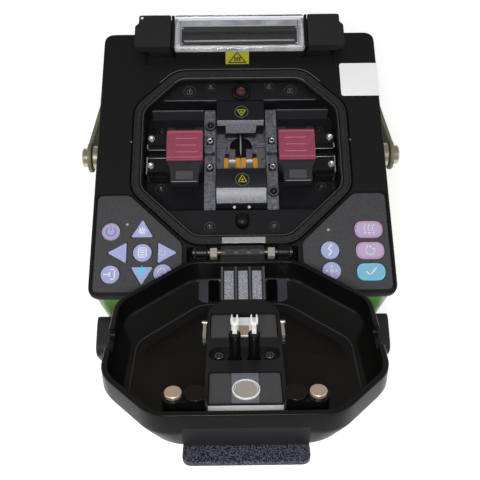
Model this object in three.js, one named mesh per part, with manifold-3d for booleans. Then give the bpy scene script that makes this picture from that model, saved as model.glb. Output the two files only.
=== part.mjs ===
// Fiber fusion splicer: a hand-carried bench instrument that aligns and arc-welds two optical fibres.
// Units are millimetres, +Z is up, +X is to the operator's right and +Y points away from the operator.
// The origin is the centre of the mounting pad under the base.
import * as THREE from 'three';
import { mergeVertices } from 'three/addons/utils/BufferGeometryUtils.js';
import Module from 'manifold-3d';

const wasm = await Module();
wasm.setup();

// ---------- driving dimensions ----------
const GAP = 0.3;                                   // clearance between pieces that touch
const TOP = 128;                                   // top face of the top frame above the pad
const FRAME = { x: 75, y: 76.4, corner: 6, thick: 4 };
const HOUSING = { x: 74.4, y: 75.4, corner: 8, wall: 3, bottom: 9.3, top: TOP - FRAME.thick - GAP };
const BASE = { inset: 0.8, bottom: 3, top: 9, padX: 30, padY: 35, tripodY: 20, tripodR: 3.2 };
const FOOT = { r: 9, x: 58, y: 58, bottom: -1 };
const BAY = { x: 57, rear: 52, front: -50.5, rearChamferX: 35, rearChamferY: 29.5,
  frontChamferX: 26, frontChamferY: -20.5, corner: 6 };          // outer outline of the gasket
const GASKET = { width: 5.8, bottom: TOP - 0.9, top: TOP + 0.4, seat: TOP - 1.2 };
const DECK = { top: TOP - 4.3, thick: 3, x: 51.4, rear: 35.5, front: -29.6, floor: TOP - 21, wall: 2.6 };
const RECESS = { x: 27.5, rear: -51, neck: -60, mouthX: 39, mouth: -78, floor: TOP - 16, wall: 2 };
const HINGE = { y: -54.5, z: TOP + 1.5, pinR: 1.5, boreR: 1.85, knuckleR: 3.2 };
const COVER = { open: 144, rim: TOP + 0.8, knee: TOP + 10.5, roof: TOP + 21.5, wall: 2.5, corner: 7,
  front: -47.5, frontChamferY: -16.5, notchY: [3, 14.5], notchTop: TOP + 4.5 };
const ROOF = { x: 49, rear: 48.6, front: -33.5, rearChamferX: 28.5, rearChamferY: 26.5,
  frontChamferX: 20, frontChamferY: -5.5 };                     // outline of the top of the wind cover
const TAB = { x: 24, y0: 44, y1: 57.8, z0: TOP + 19.3, corner: 4 };
const BRIDGE = { x: 16.4, y0: -26.5, y1: 41.5, face: TOP + 10, armX: 10.5, armY: -44.5, armZ: TOP + 4,
  corner: 3 };
const PRESSER = { x: 4, y: 9.5, r: 2.1, prong: 1.2, stem: TOP - 0.5, tip: TOP - 8 };
const MAGNET = { x: 27.3, y: 41.2, r: 3.3, postR: 4.4, face: TOP - 0.6, post: TOP + 0.9 };
const FIBRE = { y: 6, z: TOP - 14 };
const STAGE = { x: 19.6, railX: 13.5, y0: -27, y1: 33, bottom: DECK.floor + GAP, seat: TOP - 17,
  top: TOP - 10 };
const CLAMP = { x0: 20, x1: 50, y0: -6, y1: 17.6, top: TOP - 8.6, slot: 2.4, slotDepth: 6 };
const LID = { x0: 19.9, x1: 38.9, y0: -2.9, y1: 15, tabX: 2.3, tabY: -15.4, z0: TOP - 8.2, z1: TOP - 1.2,
  hingeY: 17.5, hingeZ: TOP - 5.6, pinR: 0.9, eyeR: 2.2 };
const HEATER = { x: 57, lidX: 35.2, gapX: 37.4, footX: 49.4, y0: 61.7, y1: 82, base: TOP - 0.7,
  split: TOP + 3.6, top: TOP + 8.3, lidY0: 59.8, lidBottom: TOP + 5.5, lidTop: TOP + 8.6,
  grooveW: 6, grooveY: 71 };
const PIVOT = { y: 5, z: TOP - 11, washerR: 6.3, boltR: 3, headR: 5.1 };
const BAIL = { inner: 79, thick: 2, width: 14, length: 105, hang: 30, corner: 10, eyeR: 8 };
const MONITOR = { x: 75, back: -77.3, front: -98, bottom: 14, axisY: -82.3, axisZ: 95, r: 5,
  notchX: [45.5, 59.5], screenX: 55, screenZ: [20, 88], pinR: 2 };
const BATTERY = { x: 49.5, y0: -20, y1: 78.8, z0: 14.5, z1: 48, flange: 2.2 };
const BUTTON = { bottom: TOP - 3.4, top: TOP + 0.6, r: 4.6, clear: 0.35 };
const KEYPAD = { bottom: TOP - 0.8, top: TOP, seat: TOP - 1.1 };

// ---------- colours and finishes ----------
const FINISH = {
  black: [0x1b1b1d, 0.55, 0], gloss: [0x101012, 0.2, 0], film: [0x3c3c40, 0.7, 0],
  green: [0x4f8c3a, 0.45, 0.1], rubber: [0x151515, 0.9, 0],
  steel: [0xb4b4ae, 0.3, 1], nickel: [0xc8c4b8, 0.25, 1], cast: [0x6a6c70, 0.6, 0.8],
  red: [0x8e2f3c, 0.5, 0.2], clear: [0xdfe4e6, 0.1, 0], olive: [0x6f7350, 0.5, 0.3],
  ceramic: [0xe8e8e4, 0.4, 0], tungsten: [0x8a8a8a, 0.3, 1], mirror: [0xe8e8e8, 0.05, 1],
  lavender: [0xa5aad7, 0.6, 0], pcb: [0x1d5a34, 0.5, 0], screen: [0x0a0c10, 0.1, 0],
};

// ---------- shapes ----------
// A closed outline; each corner may name its own rounding as a third number.
function rounded(points, corner = 0) {
  const shape = new THREE.Shape();
  points.forEach(([x, y, own = corner], i) => {
    const tip = new THREE.Vector2(x, y);
    const before = new THREE.Vector2(...points.at(i - 1)).sub(tip).setLength(own).add(tip);
    const after = new THREE.Vector2(...points[(i + 1) % points.length]).sub(tip).setLength(own).add(tip);
    if (i === 0) shape.moveTo(before.x, before.y);
    else shape.lineTo(before.x, before.y);
    if (own > 0) shape.quadraticCurveTo(tip.x, tip.y, after.x, after.y);
  });
  return shape;
}

const rectangle = (x0, x1, y0, y1) => [[x0, y0], [x1, y0], [x1, y1], [x0, y1]];
const mirrorX = (points) => points.map(([x, ...rest]) => [-x, ...rest]).reverse();

// Moves every edge of a convex anticlockwise outline inwards.
function inset(points, distance) {
  const edges = points.map((p, i) => {
    const q = points[(i + 1) % points.length];
    const along = new THREE.Vector2(q[0] - p[0], q[1] - p[1]).normalize();
    return { x: p[0] - along.y * distance, y: p[1] + along.x * distance, along };
  });
  return edges.map((edge, i) => {
    const last = edges.at(i - 1);
    const cross = last.along.x * edge.along.y - last.along.y * edge.along.x;
    const run = ((edge.x - last.x) * edge.along.y - (edge.y - last.y) * edge.along.x) / cross;
    return [last.x + last.along.x * run, last.y + last.along.y * run];
  });
}

function solid(geometry) {
  const bare = geometry.clone();
  bare.deleteAttribute('normal');
  bare.deleteAttribute('uv');
  const merged = mergeVertices(bare, 1e-4);
  const triVerts = new Uint32Array(merged.index.array);
  const vertProperties = new Float32Array(merged.attributes.position.array);
  return new wasm.Manifold(new wasm.Mesh({ numProp: 3, vertProperties, triVerts }));
}

function geometryOf(body) {
  const { vertProperties, triVerts } = body.getMesh();
  const geometry = new THREE.BufferGeometry();
  geometry.setAttribute('position', new THREE.BufferAttribute(vertProperties, 3));
  geometry.setIndex(new THREE.BufferAttribute(triVerts, 1));
  geometry.computeVertexNormals();
  return geometry;
}

const join = (...bodies) => bodies.reduce((sum, body) => sum.add(body));
const cut = (first, ...bodies) => bodies.reduce((rest, body) => rest.subtract(body), first);

function slabGeometry(shape, z0, z1, segments = 3) {
  const options = { depth: z1 - z0, bevelEnabled: false, curveSegments: segments };
  return new THREE.ExtrudeGeometry(shape, options).translate(0, 0, z0);
}

const slab = (shape, z0, z1, segments) => solid(slabGeometry(shape, z0, z1, segments));
const box = (x0, x1, y0, y1, z0, z1) => slab(rounded(rectangle(x0, x1, y0, y1)), z0, z1);

// A profile drawn in (y, z) and swept along x.
function alongX(shape, x0, x1, segments = 3) {
  const basis = new THREE.Matrix4().makeBasis(
    new THREE.Vector3(0, 1, 0), new THREE.Vector3(0, 0, 1), new THREE.Vector3(1, 0, 0));
  return solid(slabGeometry(shape, x0, x1, segments).applyMatrix4(basis));
}

function disc(r, x, y, z0, z1, sides = 24) {
  const geometry = new THREE.CylinderGeometry(r, r, z1 - z0, sides).rotateX(Math.PI / 2);
  return solid(geometry.translate(x, y, (z0 + z1) / 2));
}

function rodX(r, x0, x1, y, z, sides = 16) {
  const geometry = new THREE.CylinderGeometry(r, r, x1 - x0, sides).rotateZ(Math.PI / 2);
  return solid(geometry.translate((x0 + x1) / 2, y, z));
}

// A cone-tipped rod along y; the tip is at y1.
function needleY(r, z, y0, y1, tip) {
  const way = Math.sign(y1 - y0);
  const profile = [[0, y0 * way], [r, y0 * way], [r, y1 * way - tip], [0, y1 * way]];
  const geometry = new THREE.LatheGeometry(profile.map(([a, b]) => new THREE.Vector2(a, b)), 10);
  if (way < 0) geometry.rotateZ(Math.PI);
  return solid(geometry.translate(0, 0, z));
}

const group = new THREE.Group();

function add(name, body, finish, parent = group) {
  const [color, roughness, metalness] = FINISH[finish];
  const material = new THREE.MeshStandardMaterial({ color, roughness, metalness });
  const mesh = new THREE.Mesh(geometryOf(body), material);
  mesh.name = name;
  parent.add(mesh);
  return mesh;
}

// A group whose children are drawn in the frame's coordinates and then turned about an axis along x.
function turnedAboutX(y, z, degrees) {
  const pivot = new THREE.Group();
  pivot.position.set(0, y, z);
  pivot.rotation.x = THREE.MathUtils.degToRad(degrees);
  const inner = new THREE.Group();
  inner.position.set(0, -y, -z);
  pivot.add(inner);
  group.add(pivot);
  return inner;
}

// ---------- outlines shared by several pieces ----------
const octagon = ({ x, rear, front, rearChamferX, rearChamferY, frontChamferX, frontChamferY }) => [
  [-rearChamferX, rear], [-x, rearChamferY], [-x, frontChamferY], [-frontChamferX, front],
  [frontChamferX, front], [x, frontChamferY], [x, rearChamferY], [rearChamferX, rear],
];
const bayOutline = octagon(BAY);
const bay = (distance) => rounded(inset(bayOutline, distance), BAY.corner - distance / 3);

// The rim of the wind cover follows the gasket, but its hinge side stands a little further back.
const rimOutline = octagon({ ...BAY, front: COVER.front, frontChamferY: COVER.frontChamferY });

const recessOutline = [
  [-RECESS.x, RECESS.rear], [-RECESS.x, RECESS.neck], [-RECESS.mouthX, RECESS.mouth],
  [RECESS.mouthX, RECESS.mouth], [RECESS.x, RECESS.neck], [RECESS.x, RECESS.rear],
];

const keypadOutline = [
  [73.2, -22.3, 3], [56.6, -22.3, 2], [29.4, -48.9, 2], [29.4, -60.4, 1], [38.2, -74.4, 1],
  [73.2, -74.4, 3],
];

const circleShape = (x, y, r) => new THREE.Shape().absarc(x, y, r, 0, 2 * Math.PI);

function triangleShape(x, y, turn, grow) {
  const reach = 6.3 + 2 * grow;
  const corner = (i) => {
    const angle = THREE.MathUtils.degToRad(turn + 120 * i);
    return [x + reach * Math.cos(angle), y + reach * Math.sin(angle)];
  };
  return rounded([corner(0), corner(1), corner(2)], 1);
}

function pillShape(x, y, grow) {
  const [half, tall] = [7 + grow, 4.45 + grow];
  return rounded(rectangle(x - half, x + half, y - tall, y + tall), tall - 0.01);
}

const buttons = [
  ['button_power', -65.2, -42.5, 'round'], ['button_up', -49.6, -42.4, 90],
  ['button_left', -60.2, -53.7, 180], ['button_menu', -49.2, -53.8, 'round'],
  ['button_right', -38.4, -53.9, 0], ['button_exit', -64.5, -64.9, 'round'],
  ['button_down', -49.1, -64.4, 270], ['button_zoom', -38.9, -64.5, 'round'],
  ['button_heat', 63, -42.7, 'pill'], ['button_reset', 62.9, -53.9, 'pill'],
  ['button_set', 62.6, -65, 'pill'], ['button_arc', 43.2, -53.6, 'round'],
  ['button_view', 43.4, -64.3, 'round'],
];

function buttonSolid([, x, y, kind], z0, z1, grow = 0) {
  if (kind === 'round') return slab(circleShape(x, y, BUTTON.r + grow), z0, z1, 10);
  if (kind === 'pill') return slab(pillShape(x, y, grow), z0, z1);
  return slab(triangleShape(x, y, kind, grow), z0, z1);
}

// ---------- body: base, housing, top frame ----------
function makeBase() {
  const { x, y, corner, wall } = HOUSING;
  const outer = rectangle(-x, x, -y, y);
  const plate = slab(rounded(inset(outer, BASE.inset), corner), BASE.bottom, BASE.top);
  const pad = slab(rounded(rectangle(-BASE.padX, BASE.padX, -BASE.padY, BASE.padY), 4), 0, BASE.top - 1);
  const tripod = disc(BASE.tripodR, 0, BASE.tripodY, -1, BASE.top + 1, 16);
  add('base_plate', cut(join(plate, pad), tripod), 'black');
  for (const [sx, side] of [[-1, 'left'], [1, 'right']]) {
    for (const [sy, end] of [[-1, 'front'], [1, 'rear']]) {
      const foot = disc(FOOT.r, sx * FOOT.x, sy * FOOT.y, FOOT.bottom, BASE.bottom - GAP, 20);
      add(`foot_${end}_${side}`, foot, 'rubber');
    }
  }
  const shell = cut(
    slab(rounded(outer, corner), HOUSING.bottom, HOUSING.top),
    slab(rounded(inset(outer, wall), corner - wall), HOUSING.bottom - 1, HOUSING.top + 1),
    box(-RECESS.mouthX - 3, RECESS.mouthX + 3, -y - 1, -y + wall + 1, RECESS.floor - 2.5, TOP),
    box(-BATTERY.x - 0.5, BATTERY.x + 0.5, y - wall - 1, y + 1, BATTERY.z0 - 0.5, BATTERY.z1 + 0.5),
    rodX(PIVOT.boltR + 0.2, -x - 1, x + 1, PIVOT.y, PIVOT.z));
  add('housing', shell, 'green');
}

function makeTopFrame() {
  const { x, y, corner, thick } = FRAME;
  const bottom = TOP - thick;
  const plate = slab(rounded(rectangle(-x, x, -y, y), corner), bottom, TOP);
  const trayOutline = inset(recessOutline, -RECESS.wall);
  const tray = cut(
    slab(rounded(trayOutline), RECESS.floor - RECESS.wall, bottom + 1),
    box(-x, x, -y - 10, -y + 0.2, 0, TOP));
  const hollow = slab(rounded(recessOutline), RECESS.floor, TOP + 1);
  let frame = cut(
    join(plate, tray), hollow,
    slab(bay(GASKET.width), bottom - 1, TOP + 1),
    slab(bay(-GAP), GASKET.seat, TOP + 1),
    box(-52, 52, 55.4, y + 1, TOP - 1, TOP + 1));
  for (const outline of [keypadOutline, mirrorX(keypadOutline)]) {
    const seat = inset(mirrorX(outline), -GAP).map(([px, py], i) => [px, py, mirrorX(outline)[i][2]]);
    frame = cut(frame, slab(rounded(seat), KEYPAD.seat, TOP + 1));
  }
  for (const button of buttons) {
    frame = cut(frame, buttonSolid(button, bottom - 1, TOP + 1, BUTTON.clear));
  }
  for (const side of [-1, 1]) {
    const [x0, x1] = [side * 20.5 - 3.5, side * 20.5 + 3.5];
    const web = box(x0, x1, HINGE.y - 2.2, RECESS.rear + 0.5, RECESS.floor - 0.5, HINGE.z - 1.6);
    const knuckle = rodX(HINGE.knuckleR, x0, x1, HINGE.y, HINGE.z);
    const bore = rodX(HINGE.boreR, x0 - 1, x1 + 1, HINGE.y, HINGE.z);
    frame = cut(join(frame, web, knuckle), bore);
  }
  add('top_frame', frame, 'black');
  const gasket = cut(slab(bay(0), GASKET.bottom, GASKET.top),
    slab(bay(GASKET.width), GASKET.bottom - 1, GASKET.top + 1));
  add('gasket', gasket, 'rubber');
  add('cover_hinge_pin', rodX(HINGE.pinR, -24.6, 24.6, HINGE.y, HINGE.z), 'steel');
}

function makeKeypads() {
  const panels = [['keypad_left', keypadOutline, -1], ['keypad_right', mirrorX(keypadOutline), 1]];
  for (const [name, outline, side] of panels) {
    let panel = slab(rounded(mirrorX(outline)), KEYPAD.bottom, KEYPAD.top);
    for (const button of buttons.filter(([, x]) => Math.sign(x) === side)) {
      panel = cut(panel, buttonSolid(button, KEYPAD.bottom - 1, TOP + 1, BUTTON.clear));
    }
    add(name, panel, 'film');
  }
  for (const button of buttons) {
    add(button[0], buttonSolid(button, BUTTON.bottom, BUTTON.top), 'lavender');
  }
}

// ---------- splicing chamber ----------
function makeChamber() {
  const { x, rear, front, floor, top, thick, wall } = DECK;
  const pit = rounded(rectangle(-x, x, front, rear), 6);
  const tub = rounded(rectangle(-x - wall, x + wall, front - wall, rear + wall), 7);
  const chamber = cut(
    join(slab(bay(3), top - thick, top), slab(tub, floor - wall, top)),
    slab(pit, floor, top + 1));
  add('chamber', chamber, 'black');

  const stage = join(
    box(-STAGE.x, STAGE.x, STAGE.y0, STAGE.y1, STAGE.bottom, STAGE.seat),
    box(-STAGE.x, -STAGE.railX, STAGE.y0, STAGE.y1, STAGE.bottom, STAGE.top),
    box(STAGE.railX, STAGE.x, STAGE.y0, STAGE.y1, STAGE.bottom, STAGE.top));
  const fibreWay = box(-STAGE.x - 1, STAGE.x + 1, FIBRE.y - 1.2, FIBRE.y + 1.2, FIBRE.z - 1, TOP);
  add('stage_block', cut(stage, fibreWay), 'cast');

  const seat = STAGE.seat + GAP;
  const rearWide = [[20, seat], [DECK.rear - GAP, seat], [DECK.rear - GAP, top], [23, top], [20, top - 5]];
  const rearNose = [[17.5, seat], [20.5, seat], [20.5, top - 5], [17.5, top - 9]];
  add('electrode_cover_rear', cut(
    join(alongX(rounded(rearWide), -12.8, 12.8), alongX(rounded(rearNose), -8.3, 8.3)),
    box(-1.2, 1.2, 17, 22, seat - 1, FIBRE.z + 1.4)), 'black');
  const frontWide = [[-26, seat], [-5.7, seat], [-5.7, top], [-17, top], [-23.4, top - 5], [-26, top - 9]];
  add('electrode_cover_front', cut(alongX(rounded(frontWide), -13.1, 13.1),
    box(-1.2, 1.2, -10, -5, seat - 1, FIBRE.z + 1.4)), 'black');
  const tipGap = 0.7;
  add('electrode_rear', needleY(0.8, FIBRE.z, 21.4, FIBRE.y + tipGap, 3), 'tungsten');
  add('electrode_front', needleY(0.8, FIBRE.z, -9.4, FIBRE.y - tipGap, 3), 'tungsten');

  const ledge = FIBRE.z - 1;
  const ridge = [[-2.5, seat], [12.5, seat], [12.5, ledge], [9, ledge], [9, FIBRE.z + 0.3],
    [FIBRE.y + 0.6, FIBRE.z + 0.3], [FIBRE.y, FIBRE.z - 0.4], [FIBRE.y - 0.6, FIBRE.z + 0.3],
    [3, FIBRE.z + 0.3], [3, ledge], [-2.5, ledge]];
  add('vgroove_left', alongX(rounded(ridge), -10.5, -2), 'ceramic');
  add('vgroove_right', alongX(rounded(ridge), 2, 10.5), 'ceramic');
}

function makeFibreClamps() {
  const slotBottom = CLAMP.top - CLAMP.slotDepth;
  for (const [side, word] of [[-1, 'left'], [1, 'right']]) {
    const span = (a, b) => [Math.min(side * a, side * b), Math.max(side * a, side * b)];
    const between = span(CLAMP.x0 + 4.5, LID.x1 - 4.5);
    const base = cut(
      join(
        box(...span(CLAMP.x0, CLAMP.x1), CLAMP.y0, LID.y1, DECK.floor + GAP, CLAMP.top),
        box(...span(LID.x1 + 0.6, CLAMP.x1), LID.y1 - 1, CLAMP.y1, DECK.floor + GAP, CLAMP.top),
        box(...between, LID.y1 - 1, CLAMP.y1 + 2.6, DECK.floor + GAP, CLAMP.top),
        rodX(LID.eyeR, ...between, LID.hingeY, LID.hingeZ),
        box(...between, LID.hingeY - 1.2, LID.hingeY + 2.2, CLAMP.top - 2, LID.hingeZ)),
      box(...span(CLAMP.x0 - 1, CLAMP.x1 + 1), FIBRE.y - CLAMP.slot, FIBRE.y + CLAMP.slot, slotBottom, TOP),
      rodX(LID.pinR + 0.35, ...span(CLAMP.x0, CLAMP.x1), LID.hingeY, LID.hingeZ));
    add(`clamp_base_${word}`, base, 'black');

    const outline = [[side * LID.x0, LID.y1], [side * LID.x0, LID.y0], [side * (LID.x0 + LID.tabX), -8],
      [side * (LID.x0 + LID.tabX), LID.tabY, 1], [side * (LID.x1 - LID.tabX), LID.tabY, 1],
      [side * (LID.x1 - LID.tabX), -8], [side * LID.x1, LID.y0], [side * LID.x1, LID.y1]];
    const plan = side > 0 ? outline : [...outline].reverse();
    const eyes = [[LID.x0, LID.x0 + 4.2], [LID.x1 - 4.2, LID.x1]].map(([a, b]) => join(
      rodX(LID.eyeR, ...span(a, b), LID.hingeY, LID.hingeZ),
      box(...span(a, b), LID.y1 - 1, LID.hingeY, LID.hingeZ - 1.4, LID.hingeZ + LID.eyeR)));
    const lid = cut(join(slab(rounded(plan), LID.z0, LID.z1), ...eyes),
      rodX(LID.pinR + 0.35, ...span(LID.x0 - 1, LID.x1 + 1), LID.hingeY, LID.hingeZ));
    add(`clamp_lid_${word}`, lid, 'black');
    const plate = slab(rounded(rectangle(...span(LID.x0, LID.x1), LID.y0, LID.y1 - 0.2), 0.8),
      LID.z1 + GAP, LID.z1 + GAP + 1);
    add(`clamp_plate_${word}`, plate, 'red');
  }
}

// ---------- tube heater ----------
function makeHeater() {
  const h = HEATER;
  const groove = box(-h.x - 1, h.x + 1, h.grooveY - h.grooveW / 2, h.grooveY + h.grooveW / 2,
    h.base + 2, TOP + 20);
  const base = cut(
    join(
      box(-h.footX, h.footX, h.y0, h.y1 - 0.6, h.base, h.split - GAP),
      box(-h.lidX, h.lidX, h.lidY0 + 1, h.y1 - 0.6, h.base, h.lidBottom - GAP),
      box(-h.gapX + 0.4, -h.lidX - 0.3, h.lidY0 + 1, h.y1 - 0.6, h.base, h.top),
      box(h.lidX + 0.3, h.gapX - 0.4, h.lidY0 + 1, h.y1 - 0.6, h.base, h.top)),
    groove);
  add('heater_base', base, 'cast');
  const lid = cut(
    slab(rounded(rectangle(-h.lidX, h.lidX, h.lidY0, h.y1 + 0.4), 1), h.lidBottom, h.lidTop),
    box(-h.lidX + 3, h.lidX - 3, h.lidY0 + 3, h.y1 - 3, h.lidBottom - 1, h.lidBottom + 1.2));
  add('heater_lid', lid, 'clear');
  for (const [side, word] of [[-1, 'left'], [1, 'right']]) {
    const outline = [[h.gapX, h.y0], [h.x, h.y0, 1.5], [h.x, 75.4, 1], [h.x - 2, 77, 1],
      [h.x - 2, h.y1 + 0.4, 1], [h.gapX, h.y1 + 0.4]];
    const plan = side > 0 ? outline : mirrorX(outline);
    const clamp = cut(slab(rounded(plan), h.split, h.top),
      box(...(side > 0 ? [h.gapX - 1, h.x + 1] : [-h.x - 1, -h.gapX + 1]),
        h.grooveY - 1, h.grooveY + 1, h.split - 1, h.split + 1));
    add(`heater_clamp_${word}`, clamp, 'black');
  }
}

// ---------- wind cover, drawn closed and then opened ----------
// Upright walls below the knee and slanted ones from there to the top.
function coverBody(distance, bottom, top) {
  const walls = rounded(inset(rimOutline, distance), COVER.corner - distance / 2);
  const lid = rounded(inset(octagon(ROOF), distance), COVER.corner - distance / 2);
  return wasm.Manifold.hull([slab(walls, bottom, COVER.knee), slab(lid, top - 0.2, top)]);
}

function makeCover() {
  const parent = turnedAboutX(HINGE.y, HINGE.z, COVER.open);
  const ceiling = COVER.roof - COVER.wall;
  const posts = [-1, 1].map((side) => (
    disc(MAGNET.postR, side * MAGNET.x, MAGNET.y, MAGNET.post, ceiling + 1, 20)));
  const knuckle = join(
    rodX(HINGE.knuckleR, -10.6, 10.6, HINGE.y, HINGE.z),
    box(-10.6, 10.6, HINGE.y, COVER.front + 1, COVER.rim, HINGE.z + 2.9));
  const shell = cut(
    join(
      cut(coverBody(0, COVER.rim, COVER.roof), coverBody(COVER.wall, COVER.rim - 1, ceiling)),
      slab(rounded([[-TAB.x, TAB.y0, 0], [TAB.x, TAB.y0, 0], [TAB.x, TAB.y1], [-TAB.x, TAB.y1]],
        TAB.corner), TAB.z0, COVER.roof),
      knuckle, ...posts),
    box(-BAY.x - 2, BAY.x + 2, COVER.notchY[0], COVER.notchY[1], TOP, COVER.notchTop),
    rodX(HINGE.boreR, -12, 12, HINGE.y, HINGE.z));
  add('cover_shell', shell, 'gloss', parent);

  const { x, y0, y1, face, armX, armY, armZ, corner } = BRIDGE;
  const back = ceiling - GAP;
  const bridge = cut(
    join(
      slab(rounded(rectangle(-x, x, y0, y1), corner), face, back),
      alongX(rounded([[armY, armZ], [y0 + 1, face + 1.5], [y0 + 1, back], [y0 - 2.5, back],
        [armY, armZ + 5]]), -armX, armX)),
    box(-14.9, 14.9, -18.4, -0.9, face - 1, face + 4),
    box(-14, 14, 5, 13.1, face - 1, face + 2.5),
    box(-14.7, 14.7, 19.8, 37.4, face - 1, face + 2),
    ...[-1, 1].map((side) => disc(PRESSER.r + GAP, side * PRESSER.x, PRESSER.y, face, face + 5.5, 14)));
  add('cover_bridge', bridge, 'black', parent);
  add('cover_mirror_front', box(-7, 7, -16.5, -3.2, face + 2.7, face + 3.7), 'mirror', parent);
  add('cover_mirror_rear', disc(5, 0, 29.6, face + 0.2, face + 1.7, 20), 'mirror', parent);
  for (const [side, word] of [[-1, 'left'], [1, 'right']]) {
    const { x: px, y: py, r, prong, stem, tip } = PRESSER;
    const cx = side * px;
    const prongs = [-1, 1].map((way) => box(
      cx + way * prong - 0.5, cx + way * prong + 0.5, FIBRE.y - 0.8, FIBRE.y + 0.8, tip, stem - 1));
    const presser = join(
      disc(r, cx, py, stem, face + 3, 14),
      box(cx - prong - 0.5, cx + prong + 0.5, FIBRE.y - 1, py + 1.1, stem - 2, stem + 0.5),
      ...prongs);
    add(`fibre_presser_${word}`, presser, 'black', parent);
    const magnet = disc(MAGNET.r, side * MAGNET.x, MAGNET.y, MAGNET.face, MAGNET.post - GAP, 20);
    add(`magnet_${word}`, magnet, 'nickel', parent);
  }
}

// ---------- carrying handle ----------
function makeHandle() {
  const { inner, thick, width, length, hang, corner, eyeR } = BAIL;
  const outer = inner + thick;
  const parent = turnedAboutX(PIVOT.y, PIVOT.z, -hang);
  const far = PIVOT.y + length;
  const strap = rounded([[-outer, PIVOT.y, 0], [-inner, PIVOT.y, 0],
    [-inner, far - thick, corner - thick], [inner, far - thick, corner - thick], [inner, PIVOT.y, 0],
    [outer, PIVOT.y, 0], [outer, far], [-outer, far]], corner);
  const eyes = [[-outer, -inner], [inner, outer]].map((xs) => rodX(eyeR, ...xs, PIVOT.y, PIVOT.z, 20));
  const bail = cut(
    join(slab(strap, PIVOT.z - width / 2, PIVOT.z + width / 2, 5), ...eyes),
    rodX(PIVOT.boltR + 0.4, -outer - 1, outer + 1, PIVOT.y, PIVOT.z));
  add('handle_bail', bail, 'olive', parent);
  for (const [side, word] of [[-1, 'left'], [1, 'right']]) {
    const span = (a, b) => [Math.min(side * a, side * b), Math.max(side * a, side * b)];
    const spacer = cut(rodX(PIVOT.washerR, ...span(HOUSING.x + GAP, inner - GAP), PIVOT.y, PIVOT.z, 20),
      rodX(PIVOT.boltR + 0.3, ...span(HOUSING.x - 1, outer), PIVOT.y, PIVOT.z));
    add(`handle_spacer_${word}`, spacer, 'nickel');
    const bolt = cut(
      join(
        rodX(PIVOT.boltR, ...span(HOUSING.x - 5, outer + 1), PIVOT.y, PIVOT.z),
        rodX(PIVOT.headR, ...span(outer + GAP, outer + 3.4), PIVOT.y, PIVOT.z, 20)),
      rodX(2.2, ...span(outer + 1.4, outer + 5), PIVOT.y, PIVOT.z, 6));
    add(`handle_bolt_${word}`, bolt, 'nickel');
  }
}

// ---------- tilting monitor on the front ----------
function makeMonitor() {
  const m = MONITOR;
  const top = m.axisZ + m.r;
  const profile = rounded([[m.back, m.bottom, 2], [m.back, top, m.r], [m.front, top, 6],
    [m.front, m.bottom, 3]]);
  const notches = [-1, 1].map((side) => {
    const [a, b] = m.notchX.map((v) => side * v).sort((p, q) => p - q);
    return box(a, b, m.axisY - 7, m.back + 1, m.axisZ - 7, top + 1);
  });
  const housing = cut(
    alongX(profile, -m.x, m.x, 4), ...notches,
    box(-m.screenX, m.screenX, m.front - 1, m.front + 2.4, ...m.screenZ),
    rodX(m.pinR + 0.35, -65, 65, m.axisY, m.axisZ));
  add('monitor_housing', housing, 'black');
  add('monitor_screen', box(-m.screenX + GAP, m.screenX - GAP, m.front + 0.3, m.front + 2.1,
    m.screenZ[0] + GAP, m.screenZ[1] - GAP), 'screen');
  const web = -HOUSING.y - GAP;
  const arms = [-1, 1].map((side) => {
    const [a, b] = m.notchX.map((v) => side * v).sort((p, q) => p - q);
    return join(
      rodX(4.4, a + 0.5, b - 0.5, m.axisY, m.axisZ, 20),
      box(a + 0.5, b - 0.5, m.axisY, web - 0.2, m.axisZ - 4, m.axisZ + 4),
      rodX(m.pinR, a - 4, b + 4, m.axisY, m.axisZ));
  });
  const strip = box(-62, 62, m.back + 0.4, web, m.axisZ - 6, m.axisZ + 6);
  add('monitor_bracket', join(strip, ...arms), 'steel');
}

// ---------- power module and electronics ----------
function makeInside() {
  const b = BATTERY;
  const [rear, proud] = [HOUSING.y + GAP, BATTERY.flange];
  const module = join(
    box(-b.x, b.x, b.y0, rear + 1, b.z0, b.z1),
    slab(rounded(rectangle(-b.x - proud, b.x + proud, rear, b.y1)), b.z0 - proud, b.z1 + proud));
  const pull = box(-14, 14, b.y1 - 2, b.y1 + 1, b.z1 - 12, b.z1 - 4);
  add('battery_module', cut(module, pull), 'black');
  const board = slab(rounded(rectangle(-66, 66, -66, 66), 3), 60, 61.6);
  add('main_board', board, 'pcb');
}

makeBase();
makeTopFrame();
makeKeypads();
makeChamber();
makeFibreClamps();
makeHeater();
makeCover();
makeHandle();
makeMonitor();
makeInside();

export default group;
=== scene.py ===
"""Looks of a fiber fusion splicer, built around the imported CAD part.

Shapes are drawn in millimetres in the part's frame and become metres in piece(). The wind cover
is drawn closed and the carrying handle level; both are then turned to where the part has them.
"""
import math

import bmesh
import bpy
from mathutils import Matrix, Vector


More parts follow.
